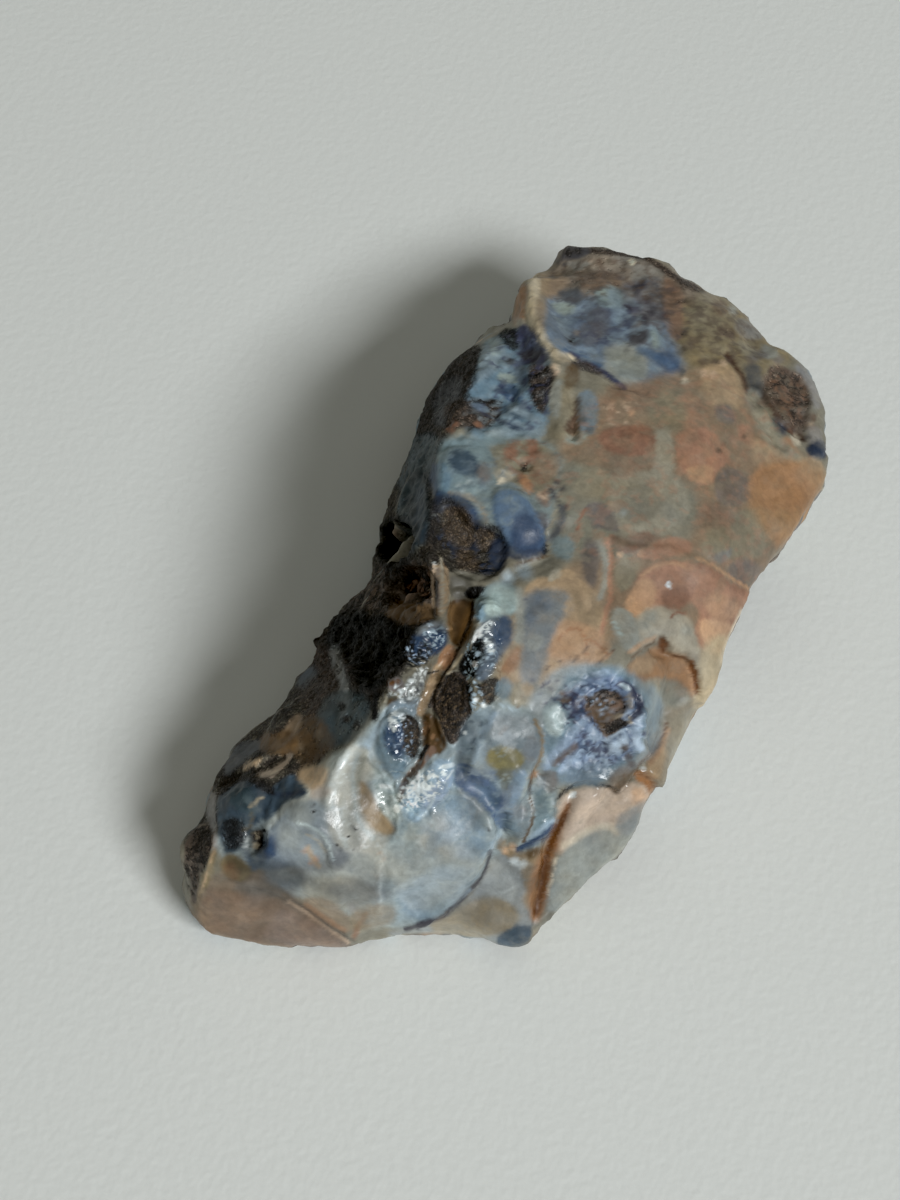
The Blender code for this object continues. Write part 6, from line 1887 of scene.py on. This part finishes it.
# Where the surface shines more, or less, than its minerals do elsewhere.
SHINE = {
    "satin rusty field": polish([
        (592, 398), (700, 366), (790, 440), (830, 470), (780, 560), (740, 630), (600, 640), (560, 560),
        (556, 440)], 0.4, 16),
    "wet lumps of the crest": polish([
        (404, 622), (448, 618), (452, 650), (436, 690), (424, 760), (396, 770), (376, 740),
        (386, 690)], 1.9, 6),
    "wet ridge of the crest": polish([
        (468, 612), (498, 608), (504, 650), (500, 716), (476, 716), (466, 660)], 1.9, 6),
    "wet fin": polish([(430, 558), (444, 558), (450, 600), (444, 624), (434, 620), (438, 590)], 1.9, 4),
    "wet crown": polish([(376, 770), (420, 756), (456, 758), (460, 800), (410, 836), (376, 816)], 1.7, 8),
    "bright bowl": polish([
        (330, 752), (362, 740), (376, 770), (350, 850), (326, 850), (322, 800)], 1.3, 10),
    "wet chips": polish([(508, 820), (560, 806), (556, 860), (530, 880), (500, 872), (492, 846)], 1.5, 8),
    "wet corner": polish([(236, 788), (262, 790), (262, 860), (240, 860)], 1.5, 6),
    "wet pane edge": polish([(490, 694), (526, 702), (528, 718), (490, 712)], 1.6, 5),
    "wet lip": polish([(560, 784), (660, 756), (668, 790), (630, 800), (560, 802)], 1.5, 5),
    "wet ring": polish([
        (630, 684), (652, 700), (652, 756), (610, 776), (560, 768), (546, 730), (574, 724), (600, 744),
        (632, 730), (626, 696)], 0.8, 6),
    "satin centre of the ring": polish([
        (583, 700), (604, 688), (627, 700), (630, 726), (606, 738), (592, 720)], 0.1, 4),
    "dull grains of the third lump": polish([
        (402, 722), (412, 722), (420, 738), (418, 756), (408, 764), (402, 748)], 0.3, 4),
    "satin facets": polish([
        (466, 700), (500, 700), (545, 716), (560, 770), (540, 810), (500, 830), (470, 800),
        (456, 750)], 0.8, 16),
}


# The paint.

def seen_colour(hex_code):
    """Return the colour from its look in the photograph's light; coat divides out each face's light."""
    parts = np.array([int(hex_code[start:start + 2], 16) for start in (1, 3, 5)]) / 255.0
    linear = np.where(parts <= 0.04045, parts / 12.92, ((parts + 0.055) / 1.055) ** 2.4)
    return linear * PHOTO_TO_STONE


class Skin:
    """The stone's paint: a colour, a gloss and a share of ironstone at each vertex."""

    def __init__(self, places, seen, shade, draft):
        count = len(places)
        self.places = places
        self.seen = seen
        self.shade = shade
        self.pixels = photo_pixels(places)
        self.colour = np.zeros((count, 3))
        self.gloss = np.zeros(count)
        self.ironstone = np.zeros(count)
        self.wander = WANDER * np.stack([
            soft_noise(places, 2.6, seed)
            + 0.6 * soft_noise(places, 1.1, seed + draft)
            + 0.4 * soft_noise(places, 0.55, seed + 3 + draft)
            for seed in (31, 41)], axis=1)
        self.patchy = 0.92 + 0.35 * rough_noise(places, 1.4, 51 + draft)

    def coat(self, colour, mask, chosen=slice(None)):
        """Blend the named colour, with its gloss and ironstone, over the chosen vertices."""
        code, gloss, ironstone = PALETTE[colour]
        # Within the light limits this divides the light out; below them part of the shade, and above them
        # part of the light, stays painted.
        colour_over_light_share = seen_colour(code) / self.shade[chosen][:, None]
        self.colour[chosen] += (colour_over_light_share - self.colour[chosen]) * mask[:, None]
        self.gloss[chosen] += (gloss - self.gloss[chosen]) * mask
        self.ironstone[chosen] += (ironstone - self.ironstone[chosen]) * mask

    def mark(self, mark):
        """Paint one mark where the photograph shows it."""
        points = np.array(mark["points"], float)
        margin = mark["soft"] + mark.get("width", 0.0) + 3.0 * WANDER
        low = points.min(axis=0) - margin
        high = points.max(axis=0) + margin
        near = np.all((self.pixels > low) & (self.pixels < high), axis=1) & (self.seen > LEAST_SEEN)
        chosen = np.flatnonzero(near)
        pixels = self.pixels[chosen] + mark["ragged"] * self.wander[chosen]
        soft = mark["soft"] / 2.0
        if mark["kind"] in ("area", "mottle", "veins", "light_and_shade_veil"):
            mask = ramp(depth_inside(pixels, points), -soft, soft)
        elif mark["kind"] == "line":
            distance, _ = path_distance(pixels, points)
            mask = 1.0 - ramp(distance, mark["width"] / 2.0 - soft, mark["width"] / 2.0 + soft)
        else:
            distance = np.min([np.linalg.norm(pixels - point, axis=1) for point in points], axis=0)
            mask = 1.0 - ramp(distance, mark["width"] / 2.0 - soft, mark["width"] / 2.0 + soft)
        if mark["kind"] == "mottle":
            blotches = rough_noise(self.places[chosen], mark["size"], int(points[0, 0]))
            level = 0.45 - 0.9 * mark["cover"]
            mask = mask * ramp(blotches, level - BLOTCH_SOFTNESS, level + BLOTCH_SOFTNESS)
        if mark["kind"] == "veins":
            blotches = rough_noise(self.places[chosen], mark["size"], int(points[0, 0]) + 7)
            mask = mask * (1.0 - ramp(np.abs(blotches) * mark["size"] / mark["width"], 0.3, 1.2))
        # Painted shade and painted light: the colour is only darkened, or lightened, by the patch's
        # light.
        if mark["kind"] == "light_and_shade_veil":
            light = 1.0 + (mark["amount"] - 1.0) * mask * self.seen[chosen]
            self.colour[chosen] *= light[:, None]
            return
        if mark["colour"] is None:
            share = mask * self.seen[chosen]
            self.gloss[chosen] += (mark["amount"] - self.gloss[chosen]) * share
            return
        filled = np.clip(mark["amount"] * self.patchy[chosen], 0.0, 1.0)
        self.coat(mark["colour"], mask * filled * self.seen[chosen], chosen)


def light_shares(normals):
    """Return how much light reaches each face direction, over what reaches the floor."""
    facing = np.maximum(normals @ WINDOW_DIRECTION, 0.0)
    upward = 0.5 + 0.5 * normals[:, 2]
    light = WINDOW_SHARE * facing + CEILING_SHARE * upward + ROOM_SHARE
    on_floor = WINDOW_SHARE * math.sin(WINDOW_ELEVATION) + CEILING_SHARE + ROOM_SHARE
    return np.clip(light / on_floor, *LIGHT_LIMITS)


# Minerals in the hidden opal: colour, size in millimetres, seed of the noise, the
# noise from where to where it sets in, and how much of it there is.
HIDDEN_MINERALS = [
    ("rust", 8.0, 61, 0.05, 0.4, 0.8),
    ("steel", 7.0, 71, 0.0, 0.35, 0.85),
    ("slate", 3.0, 81, 0.2, 0.6, 0.7),
]


def paint_unseen(skin):
    """Cover the whole stone with the same minerals, laid out by noise alone."""
    places = skin.places
    whole = np.ones(len(places))
    skin.coat("dark brown", whole)
    skin.coat("crust", ramp(rough_noise(places, 4.0, 5), -0.1, 0.5) * 0.8)
    skin.coat("black brown", ramp(rough_noise(places, 6.0, 9), 0.0, 0.4) * 0.8)
    drift = rough_noise(places, 5.0, 51)
    opal = ramp(rough_noise(places, 13.0, 21, 4) + 0.25 * drift, -0.12, 0.08)
    skin.coat("olive grey", opal)
    for colour, size, seed, low, high, amount in HIDDEN_MINERALS:
        skin.coat(colour, opal * ramp(rough_noise(places, size, seed), low, high) * amount)
    skin.coat("cream", opal * ramp(-np.abs(rough_noise(places, 9.0, 91)), -0.07, 0.0) * 0.7)


def paint_seen(skin):
    """Paint every mark of the photograph, the broad zones first."""
    skin.coat("olive grey", skin.seen)
    groups = [
        BROAD_ZONES, FAR_END, PALE_WELT, DARK_OVAL, FLANK_TOP, OVALS, SANDY_HOLLOW,
        RUSTY_FIELD, CREST_BESIDE_GROOVE, GROOVE, THIN_EDGE, ROSETTE, NEAR_SLOPE,
        SHADED_CORNER, NEAR_SCARS, PAINTED_LIGHT_AND_SHADE, SHINE,
    ]
    for group in groups:
        for mark in group.values():
            skin.mark(mark)


def add_clouds(skin):
    """Vary the paint's lightness and hue a little, as light and dark clouds."""
    clouds = 0.15 * rough_noise(skin.places, 2.2, 101) + 0.12 * soft_noise(skin.places, 0.7, 111)
    warmth = 0.05 * rough_noise(skin.places, 3.1, 121)
    skin.colour *= (1.0 + clouds)[:, None]
    skin.colour *= 1.0 + warmth[:, None] * np.array([1.0, 0.1, -1.2])
    skin.colour = np.clip(skin.colour, 0.002, 0.9)


# The stone's material.

def named_value(nodes, name):
    """Return a node that reads the value kept for each vertex under the name."""
    reader = nodes.new("ShaderNodeAttribute")
    reader.attribute_name = name
    return reader


def math_node(nodes, links, operation, first, second):
    """Return the output of one sum; either side may be a number or another output."""
    node = nodes.new("ShaderNodeMath")
    node.operation = operation
    for socket, value in zip(node.inputs, (first, second)):
        if isinstance(value, (int, float)):
            socket.default_value = value
        else:
            links.new(value, socket)
    return node.outputs[0]


def spread(nodes, links, value, low, high, to_low=0.0, to_high=1.0):
    """Return the value, brought from one range to another and held within it."""
    node = nodes.new("ShaderNodeMapRange")
    node.inputs["From Min"].default_value = low
    node.inputs["From Max"].default_value = high
    node.inputs["To Min"].default_value = to_low
    node.inputs["To Max"].default_value = to_high
    links.new(value, node.inputs["Value"])
    return node.outputs["Result"]


def mixed(nodes, links, share, first, second, blend="MIX"):
    """Return two colours mixed by the share; each may be a colour or an output."""
    node = nodes.new("ShaderNodeMix")
    node.data_type = "RGBA"
    node.blend_type = blend
    for socket, value in ((node.inputs[0], share), (node.inputs[6], first), (node.inputs[7], second)):
        if isinstance(value, (int, float, tuple)):
            socket.default_value = value
        else:
            links.new(value, socket)
    return node.outputs[2]


def stone_material():
    """Return glassy milky opal and matt grainy ironstone, told apart by the painted values."""
    material = bpy.data.materials.new("opal and ironstone")
    material.use_nodes = True
    nodes, links = material.node_tree.nodes, material.node_tree.links
    shader = nodes["Principled BSDF"]
    place = nodes.new("ShaderNodeTexCoord").outputs["Object"]
    draft_mix = nodes.new("ShaderNodeTexNoise")
    draft_mix.inputs["Scale"].default_value = 1.0 / (DRAFT_MIX_SIZE * MM)
    draft_mix.inputs["Detail"].default_value = 1.0
    links.new(place, draft_mix.inputs["Vector"])
    tint = mixed(
        nodes, links, spread(nodes, links, draft_mix.outputs["Fac"], 0.3, 0.7),
        named_value(nodes, "tint").outputs["Color"], named_value(nodes, "tint_again").outputs["Color"])
    gloss = named_value(nodes, "gloss").outputs["Fac"]
    ironstone = named_value(nodes, "ironstone").outputs["Fac"]

    def noise(size, detail=2.0, distortion=0.0):
        node = nodes.new("ShaderNodeTexNoise")
        node.inputs["Scale"].default_value = 1.0 / (size * MM)
        node.inputs["Detail"].default_value = detail
        node.inputs["Distortion"].default_value = distortion
        links.new(place, node.inputs["Vector"])
        return node.outputs["Fac"]

    def cells(size):
        node = nodes.new("ShaderNodeTexVoronoi")
        node.inputs["Scale"].default_value = 1.0 / (size * MM)
        links.new(place, node.inputs["Vector"])
        return node

    edge = math_node(nodes, links, "ADD", ironstone,
                     spread(nodes, links, noise(ROCK_EDGE_SIZE), 0.3, 0.7, -0.28, 0.28))
    rock = spread(nodes, links, edge, 0.42, 0.58)
    grains = cells(GRAIN_SIZE)
    grain_shade = nodes.new("ShaderNodeSeparateColor")
    links.new(grains.outputs["Color"], grain_shade.inputs["Color"])
    bright_grain = math_node(nodes, links, "POWER", grain_shade.outputs["Red"], 3.0)
    grain_light = spread(nodes, links, bright_grain, 0.0, 1.0, 0.6, 2.2)
    rock_colour = mixed(nodes, links, 1.0, tint, grain_light, "MULTIPLY")
    cloud = spread(nodes, links, noise(CLOUD_SIZE, 4.0, 0.6), 0.25, 0.75, 0.86, 1.14)
    opal_colour = mixed(nodes, links, 1.0, tint, cloud, "MULTIPLY")
    links.new(mixed(nodes, links, rock, opal_colour, rock_colour), shader.inputs["Base Color"])

    smooth_rough = spread(nodes, links, gloss, 0.0, 2.0, 0.62, 0.08)
    streaks = spread(nodes, links, noise(STREAK_SIZE, 3.0), 0.3, 0.7, -0.04, 0.08)
    opal_rough = math_node(nodes, links, "ADD", smooth_rough, streaks)
    rock_rough = spread(nodes, links, grain_shade.outputs["Green"], 0.0, 1.0, 0.55, 0.95)
    mix_rough = nodes.new("ShaderNodeMix")
    links.new(rock, mix_rough.inputs[0])
    links.new(opal_rough, mix_rough.inputs[2])
    links.new(rock_rough, mix_rough.inputs[3])
    links.new(mix_rough.outputs[0], shader.inputs["Roughness"])

    grain_height = math_node(nodes, links, "MULTIPLY", grains.outputs["Distance"], rock)
    fine_height = math_node(nodes, links, "MULTIPLY", noise(FINE_BUMP_SIZE, 3.0), 0.35)
    bump = nodes.new("ShaderNodeBump")
    bump.inputs["Strength"].default_value = 0.6
    bump.inputs["Distance"].default_value = BUMP_DEPTH * MM
    links.new(math_node(nodes, links, "SUBTRACT", fine_height, grain_height), bump.inputs["Height"])
    links.new(bump.outputs["Normal"], shader.inputs["Normal"])
    shader.inputs["IOR"].default_value = OPAL_IOR
    return material


def add_stone():
    """Make the stone's fine mesh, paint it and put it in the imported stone's place."""
    stone = fine_stone()
    places = read_array(stone.data.vertices, "co")
    normals = read_array(stone.data.vertex_normals, "vector")
    seen = shown_share(stone.data, places, normals)
    shade = light_shares(normals)
    places = carve(places, normals, seen)
    skins = [Skin(places, seen, shade, draft) for draft in (0, 7)]
    for skin in skins:
        paint_unseen(skin)
        paint_seen(skin)
        add_clouds(skin)
    skin, again = skins
    write_colour(stone.data, "tint", skin.colour)
    write_colour(stone.data, "tint_again", again.colour)
    write_value(stone.data, "gloss", skin.gloss)
    write_value(stone.data, "ironstone", skin.ironstone)
    grain = ramp(skin.ironstone, 0.3, 0.8)
    places += (normals.T * grain * (
        lumps(places, ROCK_LUMPS, 231) + lumps(places, ROCK_GRAINS, 241))).T
    low = np.array(CAD_LOW) / MM
    high = np.array(CAD_HIGH) / MM
    stone.data.vertices.foreach_set("co", (np.clip(places, low, high) * MM).ravel())
    stone.data.update()
    stone.data.shade_smooth()
    stone.data.materials.append(stone_material())
    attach(stone, "root")
    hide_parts("boulder_opal")


# Floor, light and camera.

def floor_material():
    """Return a matt pale paint with faint dimples."""
    paint = bpy.data.materials.new("pale paint")
    paint.use_nodes = True
    nodes, links = paint.node_tree.nodes, paint.node_tree.links
    surface = nodes["Principled BSDF"]
    surface.inputs["Base Color"].default_value = (*FLOOR_COLOUR, 1.0)
    surface.inputs["Roughness"].default_value = 0.6
    dimples = nodes.new("ShaderNodeTexNoise")
    dimples.inputs["Scale"].default_value = 1.0 / (DIMPLE_SIZE * MM)
    dimples.inputs["Detail"].default_value = 1.0
    place = nodes.new("ShaderNodeNewGeometry")
    links.new(place.outputs["Position"], dimples.inputs["Vector"])
    bump = nodes.new("ShaderNodeBump")
    bump.inputs["Strength"].default_value = 0.7
    bump.inputs["Distance"].default_value = DIMPLE_DEPTH * MM
    links.new(dimples.outputs["Fac"], bump.inputs["Height"])
    links.new(bump.outputs["Normal"], surface.inputs["Normal"])
    return paint


def add_floor():
    """Lay the plain pale surface that the stone rests on."""
    mesh = bpy.data.meshes.new("floor")
    bm = bmesh.new()
    bmesh.ops.create_grid(bm, x_segments=1, y_segments=1, size=FLOOR_REACH)
    bm.to_mesh(mesh)
    bm.free()
    mesh.materials.append(floor_material())
    floor = bpy.data.objects.new("floor", mesh)
    bpy.context.scene.collection.objects.link(floor)


def add_light():
    """Hang a large soft window light and a dim ceiling, and fill the room a little."""
    direction = Vector(WINDOW_DIRECTION)
    ceiling = bpy.data.lights.new("ceiling", "AREA")
    ceiling.size = CEILING_SIZE
    ceiling.energy = CEILING_POWER
    ceiling.color = CEILING_COLOUR
    above = bpy.data.objects.new("ceiling", ceiling)
    above.location = (0.0, 0.0, CEILING_HEIGHT)
    bpy.context.scene.collection.objects.link(above)
    window = bpy.data.lights.new("window", "AREA")
    window.shape = "RECTANGLE"
    window.size = WINDOW_WIDE
    window.size_y = WINDOW_TALL
    window.energy = WINDOW_POWER
    window.color = WINDOW_COLOUR
    lamp = bpy.data.objects.new("window", window)
    lamp.location = direction * WINDOW_DISTANCE
    lamp.rotation_mode = "QUATERNION"
    lamp.rotation_quaternion = direction.to_track_quat("Z", "Y")
    bpy.context.scene.collection.objects.link(lamp)
    world = bpy.data.worlds.new("room")
    world.use_nodes = True
    background = world.node_tree.nodes["Background"]
    background.inputs["Color"].default_value = ROOM_COLOUR
    background.inputs["Strength"].default_value = ROOM_LIGHT
    bpy.context.scene.world = world


def add_camera():
    """Set the camera where the photograph was taken from."""
    lens = bpy.data.cameras.new("camera")
    lens.lens = LENS
    lens.sensor_fit = "VERTICAL"
    lens.sensor_height = SENSOR_TALL
    lens.clip_start = 10.0 * MM
    camera = bpy.data.objects.new("camera", lens)
    axes = Matrix(np.stack([RIGHT, UP, BACK], axis=1).tolist())
    camera.matrix_world = Matrix.Translation(Vector(CAMERA_PLACE * MM)) @ axes.to_4x4()
    bpy.context.scene.collection.objects.link(camera)
    bpy.context.scene.camera = camera


add_stone()
add_floor()
add_light()
add_camera()
view = bpy.context.scene.view_settings
view.view_transform = "Standard"
view.use_curve_mapping = True
view.curve_mapping.black_level = (BLACK_LEVEL, BLACK_LEVEL, BLACK_LEVEL)
view.curve_mapping.update()
